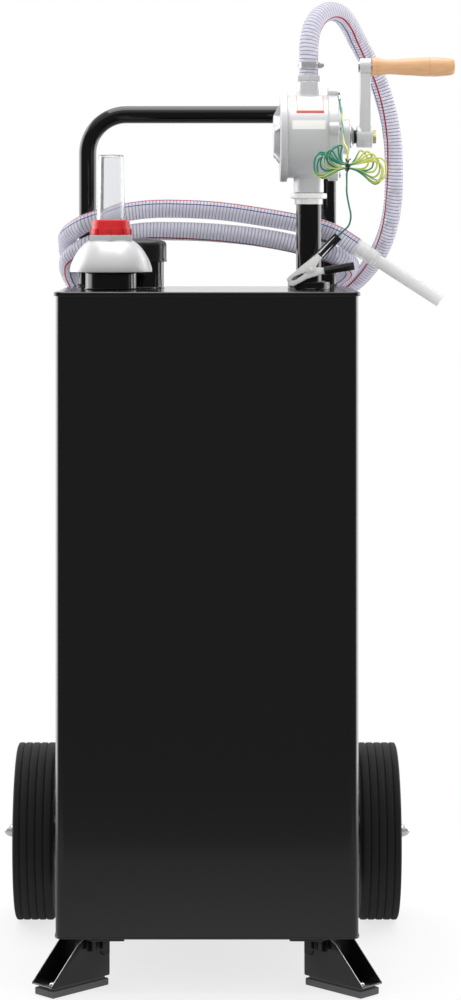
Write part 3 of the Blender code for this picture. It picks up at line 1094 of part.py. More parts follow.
# Nozzle: a connector in the hose's end, then the pouring tube
nozzle_turn = NOZZLE_RUN.to_track_quat("Z", "Y").to_euler()
nozzle_base = hose_points[-1] + NOZZLE_RUN * GAP
turned("nozzle_connector", [(NOZZLE_RADIUS - NOZZLE_WALL, 0), (HOSE_RADIUS, 0), (HOSE_RADIUS, CONNECTOR_STEP),
                            (CONNECTOR_RADIUS, CONNECTOR_STEP), (CONNECTOR_RADIUS, CONNECTOR_LENGTH),
                            (NOZZLE_RADIUS - NOZZLE_WALL, CONNECTOR_LENGTH)], WHITE_PLASTIC, nozzle_base,
       sides=SMALL_SIDES + 4, loop=True).rotation_euler = nozzle_turn
tube_base = nozzle_base + NOZZLE_RUN * (CONNECTOR_LENGTH + GAP)
turned("nozzle_tube", ring_profile(NOZZLE_RADIUS - NOZZLE_WALL, NOZZLE_RADIUS, 0, NOZZLE_LENGTH),
       WHITE_PLASTIC, tube_base, sides=SMALL_SIDES + 4, loop=True).rotation_euler = nozzle_turn

# Ground wire: ring terminal on the top cover screw, a lead down to the hank, and a drop to the clip
TERMINAL_X = LUG_RIGHT_X + GAP
TERMINAL_Y = PUMP_Y - LUG_REACH * sin(radians(LUG_TURN_DEG))
TERMINAL_Z = PUMP_Z + LUG_REACH * cos(radians(LUG_TURN_DEG))
terminal = turned("ring_terminal", ring_profile(TERMINAL_HOLE, TERMINAL_RADIUS, TERMINAL_X,
                                                TERMINAL_X + TERMINAL_THICK), CHROME, (0, TERMINAL_Y, TERMINAL_Z),
                  axis="X", sides=SMALL_SIDES, loop=True)
barrel_turn = radians(TERMINAL_TURN_DEG)
barrel_way = Vector((0, -sin(barrel_turn), cos(barrel_turn)))
barrel_root = Vector((TERMINAL_X + TERMINAL_BARREL_RADIUS, TERMINAL_Y, TERMINAL_Z))
barrel_start = barrel_root + barrel_way * TERMINAL_RADIUS * 0.8
barrel = turned("terminal_barrel", rod_profile(TERMINAL_BARREL_RADIUS, 0, TERMINAL_BARREL_LENGTH), None,
                barrel_start, sides=SMALL_SIDES - 4)
barrel.rotation_euler = (barrel_turn, 0, 0)
join(terminal, barrel)


# Hank
def hank_points():
    """Loops tied at the waist, one behind the other, each with a petal to the left and one to the right.
    Each loop steps back by one wire and a gap where it crosses the waist on its upper run."""
    waist_z = HANK_WAIST
    entry_y = HANK_FRONT_Y
    points = [Vector((0, entry_y, waist_z + HANK_LEAD_IN)),
              Vector((0, entry_y, waist_z + HANK_LEAD_IN * 2 / 3)),
              Vector((-WIRE_RADIUS / 2, entry_y, waist_z + HANK_LEAD_IN / 3))]
    total = HANK_LOOPS * HANK_POINTS_PER_LOOP
    first = HANK_POINTS_PER_LOOP * 3 // 8
    for number in range(first, total + HANK_POINTS_PER_LOOP // 4 - 1):
        turn = number / HANK_POINTS_PER_LOOP
        angle = 2 * pi * turn
        side = 1 if cos(angle) > 0 else -1
        lobe = round(turn) - 1 if side > 0 else int(turn)
        lengths = HANK_RIGHT_LOBES if side > 0 else HANK_LEFT_LOBES
        swells = HANK_RIGHT_SWELLS if side > 0 else HANK_LEFT_SWELLS
        tilts = HANK_RIGHT_TILTS_DEG if side > 0 else HANK_LEFT_TILTS_DEG
        open_share = abs(cos(angle))
        reach = lengths[lobe] * open_share
        across = (waist_z + HANK_LOBE_HEIGHT * swells[lobe] * open_share ** 2) * sin(angle)
        tilt = radians(tilts[lobe]) * open_share
        climb = min(max((turn - int(turn) - 1 / 8) * 4, 0), 1)
        points.append(Vector((side * (reach * cos(tilt) - across * sin(tilt)),
                              entry_y + HANK_STEP * (int(turn) + climb * climb * (3 - 2 * climb)),
                              reach * sin(tilt) + across * cos(tilt))))
    exit_y = entry_y + HANK_STEP * (HANK_LOOPS + 1)
    points += [Vector((WIRE_RADIUS, exit_y, -waist_z * 2)),
               Vector((0, exit_y, -waist_z - HANK_LEAD_IN * 2 / 3)),
               Vector((0, exit_y, -waist_z - HANK_LEAD_IN))]
    return [point + Vector((HANK_X, 0, HANK_Z)) for point in points]


hank_line = hank_points()
cord("ground_wire_hank", hank_line, WIRE_RADIUS, WIRE_GREEN, sides=6)
print("hank length %.3f, least gap to itself %.4f" % (route_length(hank_line),
                                                     self_gap(hank_line, WIRE_RADIUS, 4 * WIRE_RADIUS)))

lead_start = barrel_start + barrel_way * (TERMINAL_BARREL_LENGTH + GAP)
lead_end = hank_line[0] + Vector((0, 0, GAP))
LEAD_ROUTE = [lead_start, lead_start + barrel_way * 3 * WIRE_RADIUS, Vector((0.1838, 0.1580, 1.1690)),
              Vector((0.1845, 0.1370, 1.1550)), Vector((0.1846, 0.1150, 1.1430)),
              Vector((0.1845, 0.0930, 1.1320)), Vector((0.1845, 0.0740, 1.1210)),
              lead_end + Vector((0, 0, 4 * WIRE_RADIUS)), lead_end]
lead_line = smooth_route(LEAD_ROUTE, WIRE_RADIUS * 3)
cord("ground_wire_lead", even_points(lead_line, LEAD_POINTS), WIRE_RADIUS, WIRE_GREEN)


# Clip: two folded halves on a pin, each with a sleeved lever. Its own frame has +X to the jaw's tip, and
# the upper half on the -Z side.
CLIP_TURN = radians(180 + CLIP_TURN_DEG)
CLIP_PIVOT = (CLIP_X, CLIP_Y, TANK_TOP_Z + CLIP_RISE)
LEVER_ANGLE = radians(LEVER_SPREAD_DEG)
LEVER_RISE = sin(LEVER_ANGLE) / cos(LEVER_ANGLE)


def clip_place(piece):
    piece.rotation_euler = (0, -CLIP_TURN, 0)
    return piece


def outer_edge(sink):
    """A half seen from the side, from the tip over the jaw and the crown to the lever's end."""
    return [(JAW_LENGTH, JAW_SPLIT / 2 + CLIP_SHEET - sink), (JAW_LENGTH - JAW_NOSE, JAW_HEIGHT - CLIP_SHEET - sink),
            (JAW_LENGTH - 2 * JAW_NOSE, JAW_HEIGHT - sink), (JAW_NOSE, JAW_HEIGHT + SIDE_CLEARANCE - sink),
            (0, CROWN_HEIGHT - sink), (-NECK_X, NECK_HEIGHT - sink),
            (-LEVER_LENGTH, NECK_HEIGHT + (LEVER_LENGTH - NECK_X) * LEVER_RISE - sink)]


def half_outline(way):
    """The web that joins the two side walls of a half. Way is +1 for the upper half."""
    low = [(JAW_LENGTH, JAW_SPLIT / 2)] + outer_edge(CLIP_SHEET)[1:]
    return [(x, -way * z) for x, z in low + outer_edge(0)[::-1]]


def wall_outline(way):
    """A side wall: a rim along the jaw, an ear round the pin and a flank along the lever."""
    outer = outer_edge(CLIP_SHEET / 2)
    end_x, end_z = outer[-1]
    inner = [(end_x, end_z - LEVER_DEPTH), (-NECK_X, NECK_HEIGHT - LEVER_DEPTH - CLIP_SHEET)]
    for step in range(7):
        angle = pi * step / 6
        inner.append((-EAR_RADIUS * cos(angle), -EAR_RADIUS * sin(angle) * 3 / 4))
    inner += [(2 * JAW_NOSE, JAW_HEIGHT - JAW_WALL), (JAW_LENGTH - JAW_NOSE, JAW_HEIGHT - JAW_WALL),
              (JAW_LENGTH - JAW_TOOTH_DEPTH, JAW_SPLIT / 2), (JAW_LENGTH - CLIP_SHEET / 2, JAW_SPLIT / 2)]
    return [(x, -way * z) for x, z in inner + outer]


for half, way, wall_out, sleeve_start in (
        ("upper", 1, CLIP_WIDTH / 2, SLEEVE_START_UPPER),
        ("lower", -1, CLIP_WIDTH / 2 - EAR_THICK - GAP, SLEEVE_START_LOWER)):
    jaw = clip_place(slab("clip_jaw_" + half, half_outline(way), CHROME, -CLIP_WIDTH / 2, CLIP_WIDTH / 2,
                          CLIP_PIVOT, "XZ"))
    for face in (-1, 1):
        low, high = sorted((face * wall_out, face * (wall_out - EAR_THICK)))
        join(jaw, clip_place(slab("clip_wall_%s_%d" % (half, face + 1), wall_outline(way), None, low, high,
                                  CLIP_PIVOT, "XZ")))
    pin_hole = turned("clip_hole_" + half, rod_profile(CLIP_PIN_RADIUS + GAP, -CLIP_WIDTH, CLIP_WIDTH), None,
                      CLIP_PIVOT, sides=SMALL_SIDES)
    pin_hole.rotation_euler = (radians(90), 0, 0)
    cut(jaw, pin_hole)
    spin = Matrix.Rotation(-CLIP_TURN, 4, "Y")
    lever_way = Vector((-cos(LEVER_ANGLE), 0, -way * sin(LEVER_ANGLE)))
    lever_tilt = atan2(lever_way.z, lever_way.x)
    middle_rise = NECK_HEIGHT - NECK_X * LEVER_RISE - (LEVER_DEPTH + CLIP_SHEET / 2) / 2
    sleeve_root = Vector((-sleeve_start, 0, -way * (middle_rise + sleeve_start * LEVER_RISE)))
    sleeve_base = Vector(CLIP_PIVOT) + spin @ sleeve_root
    sleeve_length = (LEVER_LENGTH - sleeve_start) / cos(LEVER_ANGLE) + SLEEVE_TIP
    room_deep = LEVER_DEPTH / 2 + CLIP_SHEET / 2 + 2 * GAP
    room_wide = CLIP_WIDTH / 2 + GAP
    tilt = (0, -CLIP_TURN - lever_tilt, 0)
    sleeve = block("clip_sleeve_" + half, (0, -room_wide - SLEEVE_WALL, -room_deep - SLEEVE_WALL),
                   (sleeve_length, room_wide + SLEEVE_WALL, room_deep + SLEEVE_WALL), BLACK_RUBBER,
                   sleeve_base, tilt)
    cut(sleeve, block("sleeve_room_" + half, (-OVERRUN, -room_wide, -room_deep),
                      (sleeve_length - SLEEVE_WALL, room_wide, room_deep), None, sleeve_base, tilt))
    if way > 0:
        upper_sleeve_way = (spin @ lever_way).normalized()
        upper_sleeve_end = sleeve_base + upper_sleeve_way * sleeve_length
        print("clip pivot", CLIP_PIVOT, "upper sleeve", sleeve_base, upper_sleeve_end)
clip_pin = turned("clip_pin", rod_profile(CLIP_PIN_RADIUS, -CLIP_WIDTH / 2 - OVERRUN,
                                          CLIP_WIDTH / 2 + OVERRUN),
                  CHROME, CLIP_PIVOT, sides=SMALL_SIDES)
clip_pin.rotation_euler = (radians(90), 0, 0)

drop_start = hank_line[-1] - Vector((0, 0, GAP))
drop_end = upper_sleeve_end + upper_sleeve_way * GAP
DROP_ROUTE = [drop_start, drop_start - Vector((0, 0, 4 * WIRE_RADIUS)), Vector((0.1885, 0.0920, 1.0560)),
              Vector((0.1920, 0.1060, 1.0390)), Vector((0.1955, 0.1230, 1.0260)),
              Vector((0.1955, 0.1410, 1.0160)), Vector((0.1930, 0.1570, 1.0090)),
              drop_end + upper_sleeve_way * 4 * WIRE_RADIUS, drop_end]
drop_line = smooth_route(DROP_ROUTE, WIRE_RADIUS * 3)
cord("ground_wire_drop", even_points(drop_line, DROP_POINTS), WIRE_RADIUS, WIRE_GREEN)
print("lead %.3f, drop %.3f" % (route_length(lead_line), route_length(drop_line)))
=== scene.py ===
# Fuel caddy: the looks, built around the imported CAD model. Sizes are metres. Each piece is drawn from the
# middle of the tank's front face at ground level, with +X to the right, +Y to the back and +Z up, and is
# moved to the row frame when its mesh is finished.
from math import ceil, cos, pi, radians, sin, tau

import bmesh
import bpy
from mathutils import Matrix, Vector
from mathutils.geometry import interpolate_bezier


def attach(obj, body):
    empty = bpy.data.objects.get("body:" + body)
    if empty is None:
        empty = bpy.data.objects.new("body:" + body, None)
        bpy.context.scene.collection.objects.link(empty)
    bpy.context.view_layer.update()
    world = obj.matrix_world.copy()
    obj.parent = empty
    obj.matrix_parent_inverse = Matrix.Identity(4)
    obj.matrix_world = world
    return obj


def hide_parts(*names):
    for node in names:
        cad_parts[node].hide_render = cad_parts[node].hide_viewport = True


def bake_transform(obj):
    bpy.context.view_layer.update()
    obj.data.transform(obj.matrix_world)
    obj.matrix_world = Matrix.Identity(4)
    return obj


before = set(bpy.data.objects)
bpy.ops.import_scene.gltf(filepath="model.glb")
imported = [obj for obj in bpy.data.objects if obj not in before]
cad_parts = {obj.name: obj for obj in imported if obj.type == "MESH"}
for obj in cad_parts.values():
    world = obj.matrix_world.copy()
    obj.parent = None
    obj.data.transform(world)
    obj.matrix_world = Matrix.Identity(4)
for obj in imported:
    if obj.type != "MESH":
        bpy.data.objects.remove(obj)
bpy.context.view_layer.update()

# Camera: level with the tank's top edge, 3.7 m in front of the tank. The picture's centre lies below the
# camera's own height, and a little to the right of the tank's middle, so the film is shifted.
FRONT = Vector((-0.0235, -0.254297, 0))     # the tank front's middle, in the row frame
camera = bpy.data.objects.new("camera", bpy.data.cameras.new("camera"))
camera.location = FRONT + Vector((0, -3.7, 1.002))
camera.rotation_euler = (pi / 2, 0, 0)
camera.data.sensor_width = 36
camera.data.lens = 2.812 * 36
camera.data.shift_x = 0.0235
camera.data.shift_y = -0.268
bpy.context.collection.objects.link(camera)
bpy.context.scene.camera = camera

# Discharge hose: clear PVC tube of 27 mm outside with a rigid white helix moulded into its wall, and a red
# and a blue line printed along it. It climbs out of the pump, drops behind the tank and goes twice round
# the push handle's legs.
HOSE_RADIUS = 0.0135
HOSE_ROUTE = [
    (0.1410, 0.2000, 1.2186), (0.1410, 0.2000, 1.2330), (0.1410, 0.2000, 1.2460), (0.1422, 0.2040, 1.2680),
    (0.1465, 0.2115, 1.2864), (0.1570, 0.2265, 1.3030), (0.1720, 0.2450, 1.3115), (0.1870, 0.2650, 1.3095),
    (0.1995, 0.2855, 1.2985), (0.2117, 0.3080, 1.2796), (0.2290, 0.3270, 1.2499), (0.2452, 0.3400, 1.2192),
    (0.2573, 0.3465, 1.1854), (0.2665, 0.3510, 1.1413), (0.2697, 0.3550, 1.0906), (0.2690, 0.3625, 1.0500),
    (0.2630, 0.3770, 1.0080), (0.2500, 0.4000, 0.9720), (0.2320, 0.4260, 0.9440), (0.2050, 0.4500, 0.9180),
    (0.1700, 0.4610, 0.8960), (0.0950, 0.4620, 0.8640), (0.0000, 0.4550, 0.8500), (-0.0900, 0.4460, 0.8640),
    (-0.1500, 0.4400, 0.8860), (-0.1840, 0.4270, 0.9140), (-0.1990, 0.4020, 0.9400), (-0.2010, 0.3740, 0.9540),
    (-0.1965, 0.3480, 0.9660), (-0.1760, 0.3310, 0.9800), (-0.1389, 0.3260, 0.9930), (-0.0985, 0.3250, 1.0015),
    (-0.0386, 0.3250, 1.0030), (0.0220, 0.3250, 1.0000), (0.0759, 0.3250, 0.9940), (0.1331, 0.3260, 0.9830),
    (0.1691, 0.3300, 0.9730), (0.1960, 0.3460, 0.9640), (0.2070, 0.3720, 0.9550), (0.2040, 0.4000, 0.9460),
    (0.1850, 0.4210, 0.9330), (0.1500, 0.4300, 0.9170), (0.0800, 0.4310, 0.8990), (0.0000, 0.4330, 0.8930),
    (-0.0800, 0.4390, 0.9020), (-0.1400, 0.4450, 0.9220), (-0.1830, 0.4370, 0.9460), (-0.2010, 0.4120, 0.9680),
    (-0.2020, 0.3820, 0.9840), (-0.1990, 0.3530, 0.9980), (-0.1790, 0.3330, 1.0120), (-0.1400, 0.3260, 1.0250),
    (-0.0900, 0.3240, 1.0340), (-0.0300, 0.3240, 1.0350), (0.0186, 0.3240, 1.0321), (0.0759, 0.3230, 1.0242),
    (0.1331, 0.3220, 1.0140), (0.1675, 0.3218, 1.0055), (0.1907, 0.3214, 0.9956), (0.2020, 0.3197, 0.9882),
    (0.2132, 0.3180, 0.9809)]


def smooth_route(points, spacing):
    """Points on a smooth curve through the route's own points, one Bezier piece between each two."""
    route = [Vector(point) for point in points]
    spans = [(after - before).length for before, after in zip(route, route[1:])]
    slopes = [(after - before) / span for before, after, span in zip(route, route[1:], spans)]
    tangents = [slopes[0]]
    for number in range(1, len(slopes)):
        left, right = spans[number - 1], spans[number]
        tangents.append((slopes[number - 1] * right + slopes[number] * left) / (left + right))
    tangents.append(slopes[-1])
    dense = [route[0]]
    for number, span in enumerate(spans):
        begin, end = route[number], route[number + 1]
        steps = max(3, ceil(span / spacing) + 1)
        dense += interpolate_bezier(begin, begin + tangents[number] * span / 3,
                                    end - tangents[number + 1] * span / 3, end, steps)[1:]
    return dense


def linear(code):
    """The linear colour of an sRGB hex value."""
    shares = [int(code[place:place + 2], 16) / 255 for place in (1, 3, 5)]
    return (*[share / 12.92 if share <= 0.04045 else ((share + 0.055) / 1.055) ** 2.4 for share in shares], 1)


def add(tree, kind, links=None, **settings):
    """One node, with its settings by name. Links gives its inputs, each a value or another node's output."""
    node = tree.nodes.new(kind)
    for name, value in settings.items():
        setattr(node, name, value)
    for socket, value in (links or {}).items():
        if isinstance(value, bpy.types.NodeSocket):
            tree.links.new(value, node.inputs[socket])
        else:
            node.inputs[socket].default_value = value
    return node


def surface(name, colour, roughness, **inputs):
    """A material with its shader: the base colour as a hex value, and other inputs by their names."""
    made = bpy.data.materials.new(name)
    made.use_nodes = True
    tree = made.node_tree
    shader = tree.nodes["Principled BSDF"]
    shader.inputs["Base Color"].default_value = linear(colour)
    shader.inputs["Roughness"].default_value = roughness
    for socket, value in inputs.items():
        shader.inputs[socket.replace("_", " ")].default_value = value
    return made, tree, shader


def tube_tree():
    """Geometry nodes for a tube along a curve, with a helix that stands out of its wall. It keeps how far
    along and where round the tube each point lies, for the material's lines."""
    tree = bpy.data.node_groups.new("tube_along_curve", "GeometryNodeTree")
    tree.interface.new_socket("Geometry", in_out="OUTPUT", socket_type="NodeSocketGeometry")
    tree.interface.new_socket("Geometry", in_out="INPUT", socket_type="NodeSocketGeometry")
    for name, kind in (("Radius", "Float"), ("Step", "Float"), ("Sides", "Int"), ("Pitch", "Float"),
                       ("Depth", "Float"), ("Material", "Material")):
        tree.interface.new_socket(name, in_out="INPUT", socket_type="NodeSocket" + kind)
    given = add(tree, "NodeGroupInput").outputs
    line = add(tree, "GeometryNodeResampleCurve", {"Curve": given["Geometry"], "Length": given["Step"]},
               mode="LENGTH")
    spot = add(tree, "GeometryNodeSplineParameter").outputs
    line = add(tree, "GeometryNodeStoreNamedAttribute", {"Geometry": line.outputs[0], "Name": "along",
                                                         "Value": spot["Length"]}, data_type="FLOAT")
    ring = add(tree, "GeometryNodeCurvePrimitiveCircle", {"Resolution": given["Sides"],
                                                          "Radius": given["Radius"]})
    place = add(tree, "GeometryNodeInputPosition").outputs[0]
    ring = add(tree, "GeometryNodeStoreNamedAttribute", {"Geometry": ring.outputs[0], "Name": "round",
                                                         "Value": place}, data_type="FLOAT_VECTOR")
    tube = add(tree, "GeometryNodeCurveToMesh", {"Curve": line.outputs[0], "Profile Curve": ring.outputs[0],
                                                 "Fill Caps": True})
    along = add(tree, "GeometryNodeInputNamedAttribute", {"Name": "along"}, data_type="FLOAT").outputs[0]
    around = add(tree, "GeometryNodeInputNamedAttribute", {"Name": "round"},
                 data_type="FLOAT_VECTOR").outputs[0]
    axes = add(tree, "ShaderNodeSeparateXYZ", {0: around}).outputs
    angle = add(tree, "ShaderNodeMath", {0: axes["Y"], 1: axes["X"]}, operation="ARCTAN2").outputs[0]
    turns = add(tree, "ShaderNodeMath", {0: along, 1: given["Pitch"]}, operation="DIVIDE").outputs[0]
    phase = add(tree, "ShaderNodeMath", {0: turns, 1: tau, 2: angle}, operation="MULTIPLY_ADD").outputs[0]
    wave = add(tree, "ShaderNodeMath", {0: phase}, operation="COSINE").outputs[0]
    sunk = add(tree, "ShaderNodeMath", {0: wave, 1: 1.0}, operation="SUBTRACT").outputs[0]
    deep = add(tree, "ShaderNodeMath", {0: sunk, 1: given["Depth"]}, operation="MULTIPLY").outputs[0]
    normal = add(tree, "GeometryNodeInputNormal").outputs[0]
    move = add(tree, "ShaderNodeVectorMath", {0: normal, "Scale": deep}, operation="SCALE").outputs[0]
    tube = add(tree, "GeometryNodeSetPosition", {"Geometry": tube.outputs[0], "Offset": move})
    tube = add(tree, "GeometryNodeSetShadeSmooth", {"Geometry": tube.outputs[0]})
    whole = add(tree, "GeometryNodeRealizeInstances", {0: tube.outputs[0]})
    look = add(tree, "GeometryNodeSetMaterial", {"Geometry": whole.outputs[0], "Material": given["Material"]})
    add(tree, "NodeGroupOutput", {0: look.outputs[0]})
    return tree


def run_nodes(piece, tree, **values):
    """The plain mesh that a node tree makes of a piece, with its inputs set by name. The piece goes."""
    modifier = piece.modifiers.new("shape", "NODES")
    modifier.node_group = tree
    for item in tree.interface.items_tree:
        if item.in_out == "INPUT" and item.name in values:
            modifier[item.identifier] = values[item.name]
    bpy.context.collection.objects.link(piece)
    mesh = bpy.data.meshes.new_from_object(piece.evaluated_get(bpy.context.evaluated_depsgraph_get()))
    bpy.data.objects.remove(piece)
    return mesh


def dress(name, mesh, body, stands_for=()):
    """Move a finished mesh to the row frame and make it a piece that rides on a body."""
    mesh.transform(Matrix.Translation(FRONT))
    mesh.name = name
    piece = bpy.data.objects.new(name, mesh)
    bpy.context.collection.objects.link(piece)
    if body:
        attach(piece, body)
    if stands_for:
        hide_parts(*stands_for)
    return piece


def line_object(name, points):
    curve = bpy.data.curves.new(name, "CURVE")
    curve.dimensions = "3D"
    spline = curve.splines.new("POLY")
    spline.points.add(len(points) - 1)
    for number, point in enumerate(points):
        spline.points[number].co = (*point, 1)
    return bpy.data.objects.new(name, curve)


# Soft PVC is clear with a faint lavender cast and a wet gloss. Its rigid helix is milky and a little less clear; the
# fine grey line in the groove where the wall steps down beside it, 4.8 mm apart, is painted shade. The two printed
# lines are opaque, and wind slowly round the hose where it was laid up with a twist.
HELIX_PITCH = 0.0048
clear_bore, tree, shader = surface("clear_pvc_bore", "#FBFBFE", 0.10, IOR=1.10, Transmission_Weight=0.96)
clear_pvc, tree, shader = surface("clear_pvc_hose", "#FCFCFE", 0.10, IOR=1.16)
along = add(tree, "ShaderNodeAttribute", attribute_name="along").outputs["Fac"]
around = add(tree, "ShaderNodeAttribute", attribute_name="round").outputs["Vector"]
axes = add(tree, "ShaderNodeSeparateXYZ", {0: around}).outputs
angle = add(tree, "ShaderNodeMath", {0: axes["Y"], 1: axes["X"]}, operation="ARCTAN2").outputs[0]
turns = add(tree, "ShaderNodeMath", {0: along, 1: tau / HELIX_PITCH, 2: angle},
            operation="MULTIPLY_ADD").outputs[0]
wave = add(tree, "ShaderNodeMath", {0: turns}, operation="COSINE").outputs[0]
# Painted shade: the colour turns grey along the helix's groove, and the wall there is also made a little less clear.
helix_groove_shade = add(tree, "ShaderNodeMapRange", {0: wave, 1: -1.0, 2: -0.45, 3: 1.0, 4: 0.0},
            interpolation_type="SMOOTHSTEP").outputs[0]
colour = add(tree, "ShaderNodeMix", {0: helix_groove_shade, 6: linear("#F1F0FA"), 7: linear("#84849E")},
             data_type="RGBA").outputs[2]
opaque = add(tree, "ShaderNodeMath", {0: helix_groove_shade, 1: -0.25, 2: 0.50}, operation="MULTIPLY_ADD").outputs[0]
twist = radians(12)
for start, end, turned in ((0.0, 0.45, 93), (0.45, 0.65, -25), (0.65, 1.15, -65), (1.15, 1.50, 39), (1.55, 2.10, -111),
                           (2.10, 2.59, 9)):
    stretch = add(tree, "ShaderNodeMapRange", {0: along, 1: start, 2: end, 3: 0.0, 4: radians(turned)}).outputs[0]
    twist = add(tree, "ShaderNodeMath", {0: stretch, 1: twist}, operation="ADD").outputs[0]
unwound = add(tree, "ShaderNodeMath", {0: angle, 1: twist}, operation="SUBTRACT").outputs[0]
for ink, place, half in (("#AE2A3A", 2.55, 0.075), ("#323E7C", 3.15, 0.05)):
    gap = add(tree, "ShaderNodeMath", {0: unwound, 1: place - pi}, operation="SUBTRACT").outputs[0]
    turned = add(tree, "ShaderNodeMath", {0: gap}, operation="COSINE").outputs[0]
    line = add(tree, "ShaderNodeMapRange", {0: turned, 1: cos(half * 1.5), 2: cos(half * 0.8)},
               interpolation_type="SMOOTHSTEP").outputs[0]
    colour = add(tree, "ShaderNodeMix", {0: line, 6: colour, 7: linear(ink)}, data_type="RGBA").outputs[2]
    clear = add(tree, "ShaderNodeMath", {0: 1.0, 1: line}, operation="SUBTRACT").outputs[0]
    opaque = add(tree, "ShaderNodeMath", {0: opaque, 1: clear}, operation="MULTIPLY").outputs[0]
tree.links.new(colour, shader.inputs["Base Color"])
tree.links.new(opaque, shader.inputs["Transmission Weight"])

tubing = tube_tree()
hose_line = smooth_route(HOSE_ROUTE, 0.004)
hose_mesh = run_nodes(line_object("hose_line", hose_line), tubing, Radius=HOSE_RADIUS, Step=0.0012, Sides=28,
                      Pitch=HELIX_PITCH, Depth=0.00022, Material=clear_pvc)
bore_mesh = run_nodes(line_object("bore_line", hose_line), tubing, Radius=0.0098, Step=0.006, Sides=20,
                      Pitch=HELIX_PITCH, Depth=0.0, Material=clear_bore)


def merged(meshes, flipped=()):
    """One mesh of several, keeping their attributes. The flipped ones are turned inside out, as a bore is."""
    for mesh in flipped:
        mesh.flip_normals()
    parts = [bpy.data.objects.new("part", mesh) for mesh in meshes]
    for part in parts:
        bpy.context.collection.objects.link(part)
    with bpy.context.temp_override(active_object=parts[0], selected_editable_objects=parts, object=parts[0]):
        bpy.ops.object.join()
    mesh = parts[0].data
    bpy.data.objects.remove(parts[0])
    return mesh


hose = dress("hose", merged([hose_mesh, bore_mesh], [bore_mesh]), "caddy", ["discharge_hose"])

# Ground wire: two-core flex of 2.6 mm in green with a yellow stripe. It runs from a ring terminal on the
# pump's top screw to a hank that a black twist tie holds, and drops from there to the spring clip.
WIRE_RADIUS = 0.0013
TERMINAL_WAY = Vector((0, -sin(radians(128)), cos(radians(128))))
TERMINAL = Vector((0.1828, 0.1906, 1.1931))
wire_start = TERMINAL + TERMINAL_WAY * 0.0147
LEFT_PETALS = [(0.045, 0.65, 3), (0.033, 0.47, 28), (0.044, 0.65, 8), (0.030, 0.47, 62), (0.040, 0.60, -4),
               (0.031, 0.47, 50), (0.036, 0.50, 18)]
RIGHT_PETALS = [(0.052, 0.65, -7), (0.047, 0.60, -14), (0.040, 0.52, 10), (0.049, 0.62, -16),
                (0.036, 0.50, 20), (0.044, 0.55, -2), (0.030, 0.47, 31)]


def hank_points():
    """Loops one behind the other, tied at the waist. Each petal has its length, its swell and its tilt."""
    front_y, waist, lead_in, step, turn_points = 0.0590, 0.0022, 0.0130, 0.00315, 24
    points = [Vector((0, front_y, waist + lead_in)), Vector((0, front_y, waist + lead_in * 2 / 3)),
              Vector((-WIRE_RADIUS / 2, front_y, waist + lead_in / 3))]
    for number in range(9, 7 * turn_points + 5):
        turn = number / turn_points
        angle = tau * turn
        side = 1 if cos(angle) > 0 else -1
        length, swell, tilt = RIGHT_PETALS[round(turn) - 1] if side > 0 else LEFT_PETALS[int(turn)]
        share = abs(cos(angle))
        reach, across = length * share, (waist + 0.0560 * swell * share ** 2) * sin(angle)
        tilt = radians(tilt) * share
        climb = min(max((turn - int(turn) - 1 / 8) * 4, 0), 1)
        points.append(Vector((side * (reach * cos(tilt) - across * sin(tilt)),
                              front_y + step * (int(turn) + climb * climb * (3 - 2 * climb)),
                              reach * sin(tilt) + across * cos(tilt))))
    back_y = front_y + step * 8
    points += [Vector((WIRE_RADIUS, back_y, -waist * 2)), Vector((0, back_y, -waist - lead_in * 2 / 3)),
               Vector((0, back_y, -waist - lead_in))]
    return [point + Vector((0.1880, 0, 1.0900)) for point in points]


hank = hank_points()
LEVER_WAY = Vector((0.69214, 0, 0.72176))
wire_end = Vector((0.18075, 0.1720, 0.99663))
lead_route = [wire_start, wire_start + TERMINAL_WAY * 3 * WIRE_RADIUS, (0.1838, 0.1580, 1.1690),
              (0.1845, 0.1370, 1.1550), (0.1846, 0.1150, 1.1430), (0.1845, 0.0930, 1.1320),
              (0.1845, 0.0740, 1.1210), hank[0] + Vector((0, 0, 4 * WIRE_RADIUS))]
drop_route = [hank[-1] - Vector((0, 0, 4 * WIRE_RADIUS)), (0.1885, 0.0920, 1.0560), (0.1920, 0.1060, 1.0390),
              (0.1955, 0.1230, 1.0260), (0.1955, 0.1410, 1.0160), (0.1930, 0.1570, 1.0090),
              wire_end + LEVER_WAY * 4 * WIRE_RADIUS, wire_end]
wire_line = smooth_route(lead_route + hank + drop_route, 0.003)

# Wire jackets are soft extruded PVC with a low gloss. The flex winds slowly round itself; it shows more of its
# yellow in the loops on the right, and is plain green where it drops to the clip.
jacket, tree, shader = surface("green_yellow_wire_pvc", "#2FA07A", 0.38, Coat_Weight=0.15)
along = add(tree, "ShaderNodeAttribute", attribute_name="along").outputs["Fac"]
around = add(tree, "ShaderNodeAttribute", attribute_name="round").outputs["Vector"]
axes = add(tree, "ShaderNodeSeparateXYZ", {0: around}).outputs
angle = add(tree, "ShaderNodeMath", {0: axes["Y"], 1: axes["X"]}, operation="ARCTAN2").outputs[0]
turns = add(tree, "ShaderNodeMath", {0: along, 1: tau / 0.11, 2: angle}, operation="MULTIPLY_ADD").outputs[0]
share = add(tree, "ShaderNodeMath", {0: turns}, operation="COSINE").outputs[0]
place = add(tree, "ShaderNodeTexCoord").outputs["Object"]
axes = add(tree, "ShaderNodeSeparateXYZ", {0: place}).outputs
for axis, start, end, low, high in (("X", 0.145, 0.185, -0.65, 0.95), ("Z", 1.050, 1.066, -2.2, 0.0),
                                    ("Z", 1.120, 1.135, 0.0, 0.4), ("Z", 1.160, 1.168, 0.0, -1.8)):
    part = add(tree, "ShaderNodeMapRange", {0: axes[axis], 1: start, 2: end, 3: low, 4: high}).outputs[0]
    share = add(tree, "ShaderNodeMath", {0: share, 1: part}, operation="ADD").outputs[0]
stripe = add(tree, "ShaderNodeMapRange", {0: share, 1: 0.10, 2: 0.35}, interpolation_type="SMOOTHSTEP").outputs[0]
